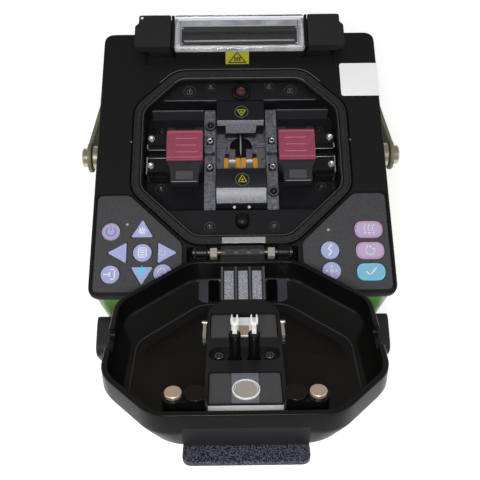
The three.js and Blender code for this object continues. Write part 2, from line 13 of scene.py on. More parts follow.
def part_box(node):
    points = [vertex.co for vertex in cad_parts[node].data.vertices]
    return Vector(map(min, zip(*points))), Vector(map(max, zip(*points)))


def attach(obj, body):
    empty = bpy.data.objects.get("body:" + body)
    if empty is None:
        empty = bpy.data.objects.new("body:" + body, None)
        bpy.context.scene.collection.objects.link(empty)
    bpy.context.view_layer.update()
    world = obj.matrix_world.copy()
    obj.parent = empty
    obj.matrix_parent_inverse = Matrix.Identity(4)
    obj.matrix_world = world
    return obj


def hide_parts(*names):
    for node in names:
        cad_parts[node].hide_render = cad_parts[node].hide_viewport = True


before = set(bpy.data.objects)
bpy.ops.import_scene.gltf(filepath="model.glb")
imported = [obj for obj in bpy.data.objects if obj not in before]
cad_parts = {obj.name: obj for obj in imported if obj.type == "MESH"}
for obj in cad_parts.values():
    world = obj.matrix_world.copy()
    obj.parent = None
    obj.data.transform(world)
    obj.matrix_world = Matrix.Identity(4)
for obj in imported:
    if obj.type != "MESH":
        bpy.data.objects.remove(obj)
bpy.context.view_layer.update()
scene = bpy.context.scene


# ---------- sizes, in millimetres, as in the CAD part ----------
def span(node):
    """Lowest and highest corner of a CAD node at rest."""
    low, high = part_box(node)
    return low * 1000, high * 1000


def symmetric(half):
    """An outline whose left half is given, from the rear to the front."""
    return half + [(-x, y) for x, y in reversed(half)]


def tilt(degrees, x, y, z):
    """A turn about the x axis, and then a move."""
    return Matrix.Translation((x, y, z)) @ Matrix.Rotation(math.radians(degrees), 4, "X")


TOP = round(span("keypad_left")[1].z, 2)                    # face of the top plate
PLATE = span("top_frame")[1]
GREEN = span("housing")
BAY = symmetric([(-35, 52), (-57, 29.5), (-57, -20.5), (-26, -50.5)])
COVER_RIM = symmetric([(-35, 52), (-57, 29.5), (-57, -16.5), (-26, -47.5)])
COVER_TOP = symmetric([(-28.5, 48.6), (-49, 26.5), (-49, -5.5), (-20, -33.5)])
RECESS = symmetric([(-27.5, -51), (-27.5, -60), (-39, -78)])
KEYPAD = [(56.6, -22.3), (29.4, -48.9), (29.4, -60.4), (38.2, -74.4), (73.2, -74.4), (73.2, -22.3)]
DECK = TOP - 4.3                                            # face of the plate inside the gasket
FLOOR = TOP - 21                                            # floor of the splicing pit
SEAT = TOP - 16.7                                           # seat between the stage rails
FIBRE_Y, FIBRE_Z = 6, TOP - 14
HINGE_Y, HINGE_Z = -54.5, TOP + 1.5
PIVOT_Y, PIVOT_Z = 5, TOP - 11
RIM, KNEE, CEILING, ROOF = TOP + 0.8, TOP + 10.5, TOP + 19, TOP + 21.5
FACE = TOP + 10                                             # face of the platform in the cover
ARM_Y, ARM_Z = -44.9, TOP + 3.2                             # foot of the cover's ribbed arm
PRESSER_X, PRESSER_Y = 4, 9.5
TILT_Y, TILT_Z = -82.3, 95                                  # the monitor's axis
COVER_ANGLE, HANDLE_ANGLE = 144, -30                        # at rest, in degrees
GROUND = -1.05                                              # just under the rubber feet
OPEN = tilt(COVER_ANGLE, 0, HINGE_Y, HINGE_Z) @ Matrix.Translation((0, -HINGE_Y, -HINGE_Z))
HUNG = tilt(HANDLE_ANGLE, 0, PIVOT_Y, PIVOT_Z) @ Matrix.Translation((0, -PIVOT_Y, -PIVOT_Z))
SHARP = math.radians(38)                                    # edges at least this steep stay sharp
WELD = 2e-4                                                 # points closer than this become one
SIDES = (("left", -1), ("right", 1))
ALONG_X = Matrix(((0, 0, 1, 0), (1, 0, 0, 0), (0, 1, 0, 0), (0, 0, 0, 1)))
ALONG_Y = Matrix(((1, 0, 0, 0), (0, 0, 1, 0), (0, 1, 0, 0), (0, 0, 0, 1)))


# ---------- outlines ----------
def rect(x0, x1, y0, y1):
    return [(x0, y0), (x1, y0), (x1, y1), (x0, y1)]


def circle(r, x=0.0, y=0.0, sides=32):
    turns = [2 * math.pi * i / sides for i in range(sides)]
    return [(x + r * math.cos(t), y + r * math.sin(t)) for t in turns]


def inset(points, distance):
    """Moves every edge of an anticlockwise outline inwards."""
    lines = []
    for i, point in enumerate(points):
        start = Vector(point)
        along = (Vector(points[(i + 1) % len(points)]) - start).normalized()
        lines.append((start + Vector((-along.y, along.x)) * distance, along))
    moved = []
    for i, (start, along) in enumerate(lines):
        before, way = lines[i - 1]
        cross = way.x * along.y - way.y * along.x
        run = ((start.x - before.x) * along.y - (start.y - before.y) * along.x) / cross
        moved.append(tuple(before + way * run))
    return moved


def rounded(points, setback, steps=5):
    """Rounds the corners; setback is one length for all, or one for each corner."""
    out = []
    for i, point in enumerate(points):
        own = setback[i] if isinstance(setback, (list, tuple)) else setback
        tip = Vector(point)
        if own <= 0:
            out.append(tuple(tip))
            continue
        before = tip + (Vector(points[i - 1]) - tip).normalized() * own
        after = tip + (Vector(points[(i + 1) % len(points)]) - tip).normalized() * own
        for k in range(steps + 1):
            t = k / steps
            out.append(tuple(before * (1 - t) ** 2 + tip * 2 * t * (1 - t) + after * t * t))
    return out


# ---------- shapes: a shape is (vertices, faces) ----------
def loft(rings, closed=False):
    """Skins loops that have the same number of points; an open loft gets flat ends."""
    count = len(rings[0])
    vertices = [tuple(point) for ring in rings for point in ring]
    faces = []
    for r in range(len(rings) if closed else len(rings) - 1):
        a, b = r * count, (r + 1) % len(rings) * count
        faces += [(a + i, a + (i + 1) % count, b + (i + 1) % count, b + i) for i in range(count)]
    if not closed:
        faces.append(tuple(reversed(range(count))))
        faces.append(tuple(range(len(vertices) - count, len(vertices))))
    return vertices, faces


def at(outline, z):
    return [(x, y, z) for x, y in outline]


def prism(outline, z0, z1):
    return loft([at(outline, z0), at(outline, z1)])


def box(x0, x1, y0, y1, z0, z1):
    return prism(rect(x0, x1, y0, y1), z0, z1)


def boxes(z0, z1, *plans):
    return merged(*[box(*plan, z0, z1) for plan in plans])


def slab(points, setback, z0, z1, edge=0.0, foot=0.0, steps=6):
    """A plate whose upper and lower edges are rounded by edge and foot."""
    quarter = [math.radians(a) for a in (0, 30, 60, 90)]
    profile = [(foot * (1 - math.sin(a)), z0 + foot * (1 - math.cos(a)))
               for a in quarter] if foot else [(0, z0)]
    profile += [(edge * (1 - math.cos(a)), z1 - edge * (1 - math.sin(a)))
                for a in quarter] if edge else [(0, z1)]
    return loft([at(rounded(inset(points, d), max(setback - d, 0.1), steps), z) for d, z in profile])


def lathe(profile, sides=32, closed=False):
    """Turns (radius, height) pairs about the z axis; a closed profile gives a ring."""
    return loft([at(circle(r, sides=sides), h) for r, h in profile], closed)


def merged(*shapes):
    vertices, faces = [], []
    for more, rest in shapes:
        start = len(vertices)
        vertices += more
        faces += [tuple(start + i for i in face) for face in rest]
    return vertices, faces


def turned(shape, matrix):
    return [tuple(matrix @ Vector(v)) for v in shape[0]], shape[1]


def moved(shape, x=0.0, y=0.0, z=0.0):
    return turned(shape, Matrix.Translation((x, y, z)))


def copies(shape, *places):
    return merged(*[moved(shape, *place) for place in places])


def mirrored(shape):
    return [(-x, y, z) for x, y, z in shape[0]], [tuple(reversed(face)) for face in shape[1]]


def flipped(shape, sign):
    """The shape itself, or for sign -1 its mirror image on the other side."""
    return turned(shape, Matrix.Diagonal((sign, 1, 1, 1)))


def both(*shapes):
    half = merged(*shapes)
    return merged(half, mirrored(half))


def along_x(outline, x0, x1):
    """A profile drawn in (y, z) and swept along x."""
    return turned(prism(outline, x0, x1), ALONG_X)


def along_y(outline, y0, y1):
    """A profile drawn in (x, z) and swept along y."""
    return turned(prism(outline, y0, y1), ALONG_Y)


def rod_x(r, x0, x1, y, z, chamfer=0.3, sides=28):
    profile = [(r - chamfer, x0), (r, x0 + chamfer), (r, x1 - chamfer), (r - chamfer, x1)]
    return moved(turned(lathe(profile, sides), ALONG_X), 0, y, z)


def hexagon(r, sides=24):
    """A hexagon with as many points as a circle of that many sides."""
    out = []
    for i in range(sides):
        t = 2 * math.pi * i / sides
        reach = r * math.cos(math.pi / 6) / math.cos(t % (math.pi / 3) - math.pi / 6)
        out.append((reach * math.cos(t), reach * math.sin(t)))
    return out


def cap_screw(x, y, z, r, height):
    """A socket head screw standing on z."""
    rings = [at(circle(r, sides=24), 0), at(circle(r, sides=24), height - 0.25),
             at(circle(r - 0.25, sides=24), height), at(circle(r * 0.62, sides=24), height),
             at(hexagon(r * 0.55), height - 0.15), at(hexagon(r * 0.5), height - min(height, r) * 0.7)]
    return moved(loft(rings), x, y, z)


def stroke(points, width, z0, z1):
    """A raised line through the points."""
    parts = []
    for a, b in zip(points, points[1:]):
        a, b = Vector(a), Vector(b)
        side = (b - a).normalized().orthogonal() * width / 2
        along = (b - a).normalized() * width * 0.3
        parts.append(prism([tuple(a - along - side), tuple(b + along - side), tuple(b + along + side),
                            tuple(a - along + side)], z0, z1))
    return merged(*parts)


def arc(x, y, r, start, end, steps=12):
    turns = [math.radians(start + (end - start) * i / steps) for i in range(steps + 1)]
    return [(x + r * math.cos(t), y + r * math.sin(t)) for t in turns]


# ---------- meshes and pieces ----------
def mesh_of(shape, scale=1.0):
    mesh = bpy.data.meshes.new("shape")
    mesh.from_pydata([Vector(v) * scale for v in shape[0]], [], shape[1])
    work = bmesh.new()
    work.from_mesh(mesh)
    bmesh.ops.remove_doubles(work, verts=work.verts, dist=WELD * scale)
    bmesh.ops.recalc_face_normals(work, faces=work.faces)
    work.to_mesh(mesh)
    work.free()
    return mesh


def linked(name, mesh):
    obj = bpy.data.objects.new(name, mesh)
    scene.collection.objects.link(obj)
    return obj


def baked(obj):
    """The object's mesh with its modifiers applied; the object goes."""
    bpy.context.view_layer.update()
    mesh = bpy.data.meshes.new_from_object(obj.evaluated_get(bpy.context.evaluated_depsgraph_get()))
    bpy.data.objects.remove(obj)
    return mesh


def boolean(shape, others, operation):
    base = linked("base", mesh_of(shape))
    tools = [linked("tool", mesh_of(other)) for other in others]
    for tool in tools:
        modifier = base.modifiers.new("boolean", "BOOLEAN")
        modifier.object, modifier.operation, modifier.solver = tool, operation, "EXACT"
    mesh = baked(base)
    for tool in tools:
        bpy.data.objects.remove(tool)
    return [tuple(v.co) for v in mesh.vertices], [tuple(p.vertices) for p in mesh.polygons]


def cut(shape, *others):
    return boolean(shape, others, "DIFFERENCE")


def join(shape, *others):
    return boolean(shape, others, "UNION")


def piece(name, shape, material, slot, body="body", place=None, bevel=0.0, replaces=None):
    """Makes a finished object from a shape and lets it ride on a CAD body."""
    obj = linked(name, mesh_of(turned(shape, place) if place else shape, 0.001))
    if bevel:
        edge = obj.modifiers.new("edges", "BEVEL")
        edge.width, edge.segments, edge.angle_limit = bevel / 1000, 2, SHARP
        edge.limit_method = "ANGLE"
        obj = linked(name, baked(obj))
    obj.data.shade_smooth()
    obj.data.set_sharp_from_angle(angle=SHARP)
    obj.modifiers.new("normals", "WEIGHTED_NORMAL").keep_sharp = True
    obj = linked(name, baked(obj))
    obj.data.materials.clear()
    obj.data.materials.append(material)
    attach(obj, body)
    if replaces:
        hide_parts(replaces)
    return obj


def cover_piece(name, shape, material, slot, body="wind_cover", **more):
    """A piece of the wind cover, which is drawn closed and sits open."""
    return piece(name, shape, material, slot, body, OPEN, **more)


# ---------- materials ----------
def fill(tree, node, **sockets):
    """Gives each named socket of a node its value, or a link when the value is another node's output."""
    for name, value in sockets.items():
        socket = node.inputs[name.replace("_", " ")]
        if isinstance(value, bpy.types.NodeSocket):
            tree.links.new(value, socket)
        else:
            socket.default_value = value
    return node


def paint(name, color, roughness, tint=0.12, mottle=60, grain=0, depth=0.0, metallic=0.0, spread=0.12,
          crisp=0.0, **sockets):
    """A finish in clouds and a fine grain.

    tint and spread are how much colour and roughness vary, crisp how sharp the clouds' edges are; mottle and
    grain are pitches per metre, depth is the grain's in millimetres.
    """
    material = bpy.data.materials.new(name)
    material.use_nodes = True
    tree = material.node_tree
    shader = tree.nodes["Principled BSDF"]
    place = tree.nodes.new("ShaderNodeTexCoord").outputs["Object"]
    cloud = fill(tree, tree.nodes.new("ShaderNodeTexNoise"), Scale=mottle, Detail=5, Vector=place)
    share = fill(tree, tree.nodes.new("ShaderNodeMapRange"), From_Min=0.5 * crisp, From_Max=1 - 0.5 * crisp,
                 Value=cloud.outputs["Fac"]).outputs["Result"]
    mix = tree.nodes.new("ShaderNodeMix")
    mix.data_type = "RGBA"
    fill(tree, mix, A=(*[c * (1 - tint) for c in color], 1),
         B=(*[min(1, c * (1 + tint)) for c in color], 1), Factor=share)
    gloss = fill(tree, tree.nodes.new("ShaderNodeMapRange"), To_Min=max(0.02, roughness - spread),
                 To_Max=min(1, roughness + spread), Value=share)
    fill(tree, shader, Metallic=metallic, Base_Color=mix.outputs["Result"],
         Roughness=gloss.outputs["Result"], **sockets)
    if grain:
        fine = fill(tree, tree.nodes.new("ShaderNodeTexNoise"), Scale=grain, Detail=3, Vector=place)
        bump = fill(tree, tree.nodes.new("ShaderNodeBump"), Distance=depth / 1000, Strength=1,
                    Height=fine.outputs["Fac"])
        fill(tree, shader, Normal=bump.outputs["Normal"])
    return material


dull = {"Specular_IOR_Level": 0.25}
plate_black = paint("plate_black", (0.0048, 0.0048, 0.0046), 0.5, 0.6, 1500, 1500, 0.05, crisp=0.6, **dull)
satin_black = paint("satin_black", (0.010, 0.010, 0.011), 0.42, 0.12, 60, 2500, 0.02, **dull)
gloss_black = paint("gloss_black", (0.0034, 0.0033, 0.0031), 0.33, 0.12, 25, 700, 0.012, spread=0.07,
                    Specular_IOR_Level=0.2)
deep_black = paint("deep_black", (0.004, 0.004, 0.005), 0.5, 0.12, 60, 2000, 0.02, **dull)
# painted shade: near-black with almost no shine, for gaps and hollows that look dark only from shade
painted_shade_black = paint("painted_shade_black", (0.0010, 0.0010, 0.0011), 0.85, spread=0.05, Specular_IOR_Level=0.04)
anodised = paint("anodised", (0.0085, 0.009, 0.0105), 0.45, 0.12, 60, 3000, 0.02, metallic=0.1, **dull)
rubber = paint("rubber", (0.017, 0.0175, 0.019), 0.72, 0.8, 1300, 1800, 0.08, crisp=0.6, **dull)
film = paint("film", (0.042, 0.042, 0.046), 0.62, 0.4, 1400, 1600, 0.08, crisp=0.6)
lid_black = paint("lid_black", (0.021, 0.021, 0.024), 0.45, 0.12, 60, 2500, 0.02, metallic=0.2)
heater_grey = paint("heater_grey", (0.016, 0.016, 0.018), 0.55, 0.12, 60, 1800, 0.04, **dull)
green = paint("green", (0.095, 0.26, 0.045), 0.4, 0.08, 60, 1200, 0.03)
olive = paint("olive", (0.15, 0.145, 0.078), 0.45, 0.1, 60, 1200, 0.03)
cast = paint("cast", (0.19, 0.197, 0.225), 0.5, 0.55, 700, 900, 0.06, metallic=0.65, crisp=0.5)
# machined metal; it also paints highlights as thin light lines on the gasket and the pit's edge
machined_and_highlight_grey = paint("machined_and_highlight_grey", (0.20, 0.20, 0.22), 0.4, 0.2, 500, 2500, 0.02, metallic=0.7)
brushed = paint("brushed", (0.78, 0.78, 0.76), 0.32, 0.15, 900, 2500, 0.02, metallic=1.0)
nickel = paint("nickel", (0.50, 0.46, 0.38), 0.30, 0.08, 150, 1500, 0.01, metallic=1.0)
steel_dark = paint("steel_dark", (0.10, 0.10, 0.10), 0.35, 0.2, 400, 1500, 0.02, metallic=0.9)
crimson = paint("crimson", (0.27, 0.045, 0.085), 0.45, 0.18, 350, 2600, 0.04)
pink_line = paint("pink_line", (0.52, 0.22, 0.30), 0.5, 0.15, 500)
lavender = paint("lavender", (0.36, 0.40, 0.66), 0.5, 0.06, 300, 2500, 0.03)
pink_key = paint("pink_key", (0.47, 0.38, 0.60), 0.5, 0.06, 300, 2500, 0.03)
blue_key = paint("blue_key", (0.20, 0.46, 0.62), 0.5, 0.06, 300, 2500, 0.03)
cyan_glow = paint("cyan_glow", (0.10, 0.62, 0.85), 0.5, 0.1, 300)
# white key print; it also paints white highlight lines on the heater
print_and_highlight_white = paint("print_and_highlight_white", (0.82, 0.84, 0.92), 0.5, 0.04, 400)
icon_violet = paint("icon_violet", (0.30, 0.18, 0.42), 0.5, 0.1, 400)
ceramic = paint("ceramic", (0.78, 0.78, 0.76), 0.35, 0.04, 500, 2500, 0.02)
amber = paint("amber", (0.60, 0.27, 0.015), 0.35, 0.25, 500, 1500, 0.03)
mauve = paint("mauve", (0.13, 0.11, 0.13), 0.45, 0.2, 500, 2000, 0.03, metallic=0.3)
yellow = paint("yellow", (0.36, 0.345, 0.012), 0.45, 0.06, 200, 2500, 0.02)
ink = paint("ink", (0.008, 0.008, 0.006), 0.5, 0.1, 200)
paper = paint("paper", (0.93, 0.94, 0.95), 0.6, 0.03, 150, 1500, 0.02)
# tan nickel for the magnets; on the front mirror it paints a tan reflection
nickel_and_tan_reflection = paint("nickel_and_tan_reflection", (0.60, 0.48, 0.38), 0.38, 0.08, 250, 1500, 0.01, metallic=0.75)
# a bright silver-white; on the front mirror it paints the reflection
silver_and_painted_reflection = paint("silver_and_painted_reflection", (0.93, 0.93, 0.97), 0.5, 0.15, 900, 2500, 0.03, metallic=0.1)
hinge_metal = paint("hinge_metal", (0.40, 0.36, 0.30), 0.4, 0.12, 60, 2000, 0.02, metallic=0.25)
step_metal = paint("step_metal", (0.055, 0.058, 0.066), 0.42, 0.12, 60, 2500, 0.02, metallic=0.4)
# painted sheen: a light blue-grey for the reflection of light on the inside of the wind cover
painted_sheen_blue = paint("painted_sheen_blue", (0.017, 0.020, 0.027), 0.35, 0.2, 90)
lamp_grey = paint("lamp_grey", (0.36, 0.38, 0.36), 0.4, 0.1, 400)
lamp_dark = paint("lamp_dark", (0.05, 0.02, 0.02), 0.5, **dull)
# painted light: a lighter grey for the arc covers' faces that slope towards the light in front
lit_slope_grey = paint("lit_slope_grey", (0.26, 0.265, 0.29), 0.5, 0.3, 1300, 1800, 0.05, metallic=0.2, crisp=0.7)
pale_red = paint("pale_red", (0.55, 0.22, 0.28), 0.5, 0.4, 900)
rim_lilac = paint("rim_lilac", (0.88, 0.84, 0.97), 0.25, 0.45, 110, crisp=0.5)
trough_metal = paint("trough_metal", (0.055, 0.055, 0.042), 0.4, 0.15, 250, 1800, 0.03, metallic=0.4)
panel_grey = paint("panel_grey", (0.25, 0.26, 0.295), 0.5, 0.5, 1500, 1500, 0.05, crisp=0.7)
display = paint("display", (0.016, 0.020, 0.030), 0.12, spread=0.03)
mirror = paint("mirror", (0.86, 0.86, 0.88), 0.06, 0.03, metallic=1.0, spread=0.02)
blue_plate = paint("blue_plate", (0.17, 0.19, 0.24), 0.4, 0.1, 300, 2000, 0.02, metallic=0.3)
grey_plate = paint("grey_plate", (0.054, 0.056, 0.062), 0.5, 0.12, 400, 2500, 0.04)
sparkle = paint("sparkle", (0.044, 0.048, 0.066), 0.5, 0.97, 1700, 1300, 0.14, crisp=0.86)
red_lamp = paint("red_lamp", (0.30, 0.012, 0.02), 0.2, 0.1, 300, Coat_Weight=0.5)
glass = paint("glass", (0.95, 0.97, 0.98), 0.06, 0.01, spread=0.03, Transmission_Weight=1.0, IOR=1.46)
panel = paint("panel", (0.010, 0.012, 0.016), 0.08, 0.1, spread=0.03, Coat_Weight=0.5)
board_green = paint("board_green", (0.03, 0.16, 0.07), 0.4, 0.15, 300, 900, 0.02)


# ---------- case ----------
def make_case():
    tray = join(slab(rect(-73.6, 73.6, -74.6, 74.6), 8, 3, 9, edge=0.5, foot=1.6),
                slab(rect(-30, 30, -35, 35), 4, 0, 5, foot=0.5))
    tray = cut(tray, moved(lathe([(4.4, -1), (4.4, 6)]), 0, 20, 0),
               *[moved(lathe([(3.4, 1), (3.4, 5)], 20), x, y, 0) for x in (-64, 64) for y in (-40, 40)])
    piece("base_tray", tray, plate_black, "black_plastic", bevel=0.25, replaces="base_plate")
    ring = lathe([(3.2, 0.3), (4.3, 0.3), (4.3, 5), (3.2, 5)], closed=True)
    screws = [turned(cap_screw(0, 0, 0, 2.6, 1.6), tilt(180, x, y, 5)) for x in (-64, 64)
              for y in (-40, 40)]
    piece("tripod_insert", moved(ring, 0, 20, 0), nickel, "nickel", bevel=0.1)
    piece("base_screws", merged(*screws), steel_dark, "steel")
    foot = lathe([(5, -0.3), (5.6, -1), (8.3, -1), (9, -0.3), (9, 2.6)])
    for end, y in (("front", -58), ("rear", 58)):
        for side, x in (("left", -58), ("right", 58)):
            name = f"foot_{end}_{side}"
            piece(f"rubber_{name}", moved(foot, x, y, 0), rubber, "rubber", bevel=0.25, replaces=name)

    low, high = GREEN
    outer = rect(low.x, high.x, low.y, high.y)
    shell = cut(slab(outer, 8, low.z, high.z, edge=2.6, foot=1.4, steps=10),
                prism(rounded(inset(outer, 3), 5, 8), low.z - 1, high.z + 1),
                box(-42, 42, low.y - 1, low.y + 4, TOP - 18.5, TOP),
                box(-50, 50, high.y - 4, high.y + 1, 14, 48.5))
    piece("case_shell", shell, green, "green_paint", bevel=0.35, replaces="housing")
    flat = cap_screw(0, 0, 0, 2.4, 1.2)
    side = copies(turned(flat, ALONG_X), *[(high.x - 0.6, y, z) for y in (-62, 62) for z in (20, 110)])
    rear = copies(turned(flat, ALONG_Y), *[(x, high.y - 0.6, z) for x in (-64, 64) for z in (20, 110)])
    piece("case_screws", merged(both(side), rear), steel_dark, "steel")


KEYS = [
    ("power", -65.2, -42.5, "round"), ("up", -49.6, -42.4, 90), ("left", -60.2, -53.7, 180),
    ("menu", -49.2, -53.8, "round"), ("right", -38.4, -53.9, 0), ("exit", -64.5, -64.9, "round"),
    ("down", -49.1, -64.4, 270), ("zoom", -38.9, -64.5, "round"), ("heat", 63, -42.7, "pill"),
    ("reset", 62.9, -53.9, "pill"), ("set", 62.6, -65, "pill"), ("arc", 43.2, -53.6, "round"),
    ("view", 43.4, -64.3, "round"),
]


def key_shape(kind, grow, z0, z1, edge=0.0):
    """A key centred on the z axis: round, pill or a triangle that points the way of kind, in degrees."""
    if kind == "round":
        reach = 4.6 + grow
        worn = [(reach, z1 - edge), (reach - edge * 0.3, z1 - edge * 0.3),
                (reach - edge, z1)] if edge else [(reach, z1)]
        return lathe([(reach, z0), *worn], 40)
    if kind == "pill":
        points, setback = rect(-7 - grow, 7 + grow, -4.45 - grow, 4.45 + grow), 4.4 + grow
        return slab(points, setback, z0, z1, edge, steps=8)
    return turned(slab(circle(6.3 + 2 * grow, sides=3), 1, z0, z1, edge),
                  Matrix.Rotation(math.radians(kind), 4, "Z"))


def key_holes(grow, z0, keys):
    return merged(*[moved(key_shape(kind, grow, z0, TOP + 1), x, y) for _, x, y, kind in keys])


def make_plate():
    top = slab(rect(-PLATE.x, PLATE.x, -PLATE.y, PLATE.y), 6, TOP - 4, TOP, edge=0.9, foot=0.3, steps=10)
    tray = cut(prism(inset(RECESS, -2), TOP - 18, TOP - 3), box(-60, 60, -90, -PLATE.y + 0.2, 0, TOP))
    keys = key_holes(0.35, TOP - 9, KEYS)
    right = rounded(inset(KEYPAD, -0.3), (2, 2, 1, 1, 3, 3), 6)
    left = [(-x, y) for x, y in reversed(right)]
    top = cut(join(top, tray), prism(RECESS, TOP - 16, TOP + 1),
              prism(rounded(inset(BAY, 5.8), 4.2, 8), TOP - 6, TOP + 1),
              prism(rounded(inset(BAY, -0.3), 6.1, 8), TOP - 1.2, TOP + 1),
              box(-52, 52, 55.4, 80, TOP - 1, TOP + 1), prism(right, TOP - 1.1, TOP + 1),
              prism(left, TOP - 1.1, TOP + 1), keys)
    piece("top_plate", top, plate_black, "black_plastic", bevel=0.3, replaces="top_frame")
    profile = [(0.15, -0.9), (0.15, 0.15), (0.4, 0.4), (1.5, 0.4), (1.65, 0.1), (1.95, 0.1), (2.1, 0.4),
               (4.0, 0.4), (4.15, 0.1), (4.45, 0.1), (4.6, 0.4), (5.4, 0.4), (5.75, 0.1), (5.75, -0.9)]
    band = loft([at(rounded(inset(BAY, d), 6 - d / 3, 10), TOP + z) for d, z in profile], closed=True)
    piece("seal_band", band, rubber, "rubber", bevel=0.06, replaces="gasket")

    def seal_line(near, far, rise):
        """A hair line that runs round the bay, near to far millimetres inside its edge."""
        profile = ((near, 0.02), (near, rise), (far, rise), (far, 0.02))
        return loft([at(rounded(inset(BAY, d), 6 - d / 3, 10), TOP + z) for d, z in profile], closed=True)
    # painted shade: near-black hair lines at the gasket's outer and inner edges stand for the shadow in the
    # gaps there
    piece("seal_shadow_lines", merged(seal_line(0.1, 0.75, 0.44), seal_line(4.6, 5.0, 0.44)), painted_shade_black, "rubber")
    piece("seal_glint", seal_line(5.05, 5.45, 0.46), film, "rubber")
    # painted highlights: light hair lines along the rear of the gasket's outer and inner edges, where the
    # light catches them
    rear_highlights = merged(seal_line(-0.75, -0.32, 0.08), seal_line(5.0, 5.5, 0.5))
    piece("seal_rear_highlights", cut(rear_highlights, box(-80, 80, -80, 44, 0, TOP + 5)), machined_and_highlight_grey, "steel")
    strip = slab(rect(-10, 11.5, -49.3, -46.2), 0.3, TOP + 0.42, TOP + 0.62, edge=0.08)
    piece("seal_strip", strip, brushed, "steel")
    flap = rounded(rect(54.5, 75.02, 34.9, 55.6), (1.6, 0, 0, 1.6))
    sticker = merged(prism(flap, TOP + 0.02, TOP + 0.1), box(75.02, 75.1, 35, 55.5, TOP - 2.2, TOP + 0.1))
    piece("blank_sticker", sticker, paper, "ceramic")
    dot = lathe([(0.5, 0), (0.3, 0.15)], 12)
    piece("seal_dots", copies(dot, (-57.4, 8.3, TOP + 0.02), (57.4, 8.3, TOP + 0.02)), machined_and_highlight_grey, "ceramic")
    lean = tilt(math.degrees(math.atan2(6.2, 4.2)), -1.3, 56.5, TOP - 0.9)
    piece("heat_label", turned(box(-6.4, 6.4, 0, 7.5, -0.1, 0), lean), yellow, "ceramic")
    sign = [(-4.6, 0.9), (4.6, 0.9), (0, 6.6), (-4.6, 0.9)]
    waves = [[(x + 0.4 * math.sin(2 * t), 1.8 + 0.42 * t) for t in range(6)] for x in (-1.3, 0, 1.3)]
    marks = merged(*[stroke(line, 0.6, -0.02, 0.05) for line in (sign, *waves)])
    piece("heat_sign", turned(marks, lean), ink, "black_plastic")


def icon(name):
    """Generic key markings, centred on the key."""
    turn = arc(0, 0, 2.3, 120, 420)
    rays = [[(near * math.cos(a), near * math.sin(a)) for near in (0.5, 1.9)]
            for a in [math.radians(45 * i) for i in range(8)]]
    return {
        "power": [arc(0, 0, 2.4, 125, 415), [(0, 0.6), (0, 2.9)]],
        "up": rays,
        "menu": [[(-1.9, -2.4), (-1.9, 2.4), (1.9, 2.4), (1.9, -2.4), (-1.9, -2.4)],
                 [(-1.1, 1.2), (1.1, 1.2)], [(-1.1, 0), (1.1, 0)], [(-1.1, -1.2), (1.1, -1.2)]],
        "right": [arc(-1, 0, 1.5, 0, 360)],
        "exit": [[(-3, 0), (0.6, 0)], [(-0.6, 1.1), (0.6, 0), (-0.6, -1.1)],
                 [(0.4, 2.5), (2.2, 2.5), (2.2, -2.5), (0.4, -2.5)]],
        "down": [[(1.3 * x, 1.3 * y + 1) for x, y in ray] for ray in rays],
        "zoom": [arc(-0.5, 0.5, 1.9, 0, 360), [(0.9, -0.9), (2.6, -2.6)]],
        "heat": [[(x + 0.5 * math.sin(1.6 * t), -2.2 + 0.88 * t) for t in range(6)] for x in (-2, 0, 2)],
        "reset": [turn, [(turn[-1][0] - 1.3, turn[-1][1] - 0.2), turn[-1],
                         (turn[-1][0] + 0.5, turn[-1][1] - 1.5)]],
        "set": [[(-2.4, 0.2), (-0.7, -1.7), (2.6, 1.9)]],
        "arc": [[(0.9, 2.9), (-1.3, 0.1), (1.2, -0.1), (-0.9, -2.9)]],
        "view": [[(-2.6, 0), (2.6, 0)], [(0, -2.6), (0, 2.6)], arc(0, 0, 1.4, 0, 360)],
    }.get(name, [])


def make_keys():
    right = rounded(KEYPAD, (2, 2, 1, 1, 3, 3), 6)
    holes = key_holes(0.3, TOP - 3, [key for key in KEYS if key[1] > 0])
    other = key_holes(0.3, TOP - 3, [key for key in KEYS if key[1] < 0])
    sheet = prism(right, TOP - 0.8, TOP)
    border = loft([at(rounded(inset(KEYPAD, d), (2, 2, 1, 1, 3, 3), 6), TOP + z)
                   for d, z in ((0.05, -0.1), (0.05, 0.1), (0.55, 0.1), (0.55, -0.1))], closed=True)
    piece("key_film_right", cut(sheet, holes), film, "keypad_film", bevel=0.1, replaces="keypad_right")
    piece("key_film_left", cut(mirrored(sheet), other), film, "keypad_film", bevel=0.1,
          replaces="keypad_left")
    piece("key_film_borders", both(border), deep_black, "black_plastic")
    lamps = [moved(lathe([(0.7, -0.2), (0.7, 0.05), (0.4, 0.2)], 16), x, y, TOP)
             for x, y in ((-57.3, -38.6), (43, -42.6))]
    piece("key_lamps", merged(*lamps), lamp_grey, "ceramic")
    paints = {"heat": pink_key, "reset": pink_key, "set": blue_key}
    rings = {"power": pink_line, "heat": pink_line, "reset": pink_line, "set": cyan_glow}
    for name, x, y, kind in KEYS:
        node, body = f"button_{name}", f"key_{name}"
        cap = moved(key_shape(kind, 0, TOP - 3.4, TOP + 0.6, 0.35), x, y)
        piece(f"key_cap_{name}", cap, paints.get(name, lavender), "key_lavender", body, replaces=node)
        if name in rings:
            steps = {"round": [circle(4.3 - d, sides=40) for d in (0, 0.45)]}.get(
                kind, [rounded(inset(rect(-6.6, 6.6, -4.05, 4.05), d), 4 - d, 8) for d in (0, 0.45)])
            ring = loft([at(steps[0], TOP + 0.5), at(steps[0], TOP + 0.64), at(steps[1], TOP + 0.64),
                         at(steps[1], TOP + 0.5)], closed=True)
            piece(f"key_ring_{name}", moved(ring, x, y), rings[name], "key_lavender", body)
        marks = [stroke(line, 0.5, TOP + 0.55, TOP + 0.65) for line in icon(name)]
        if name == "down":
            marks.append(moved(lathe([(1.4, TOP + 0.5), (1.4, TOP + 0.64)]), 0, 1))
        if marks:
            ink_of = {"power": icon_violet, "down": cyan_glow}
            piece(f"key_icon_{name}", moved(merged(*marks), x, y), ink_of.get(name, print_and_highlight_white),
                  "key_lavender", body)


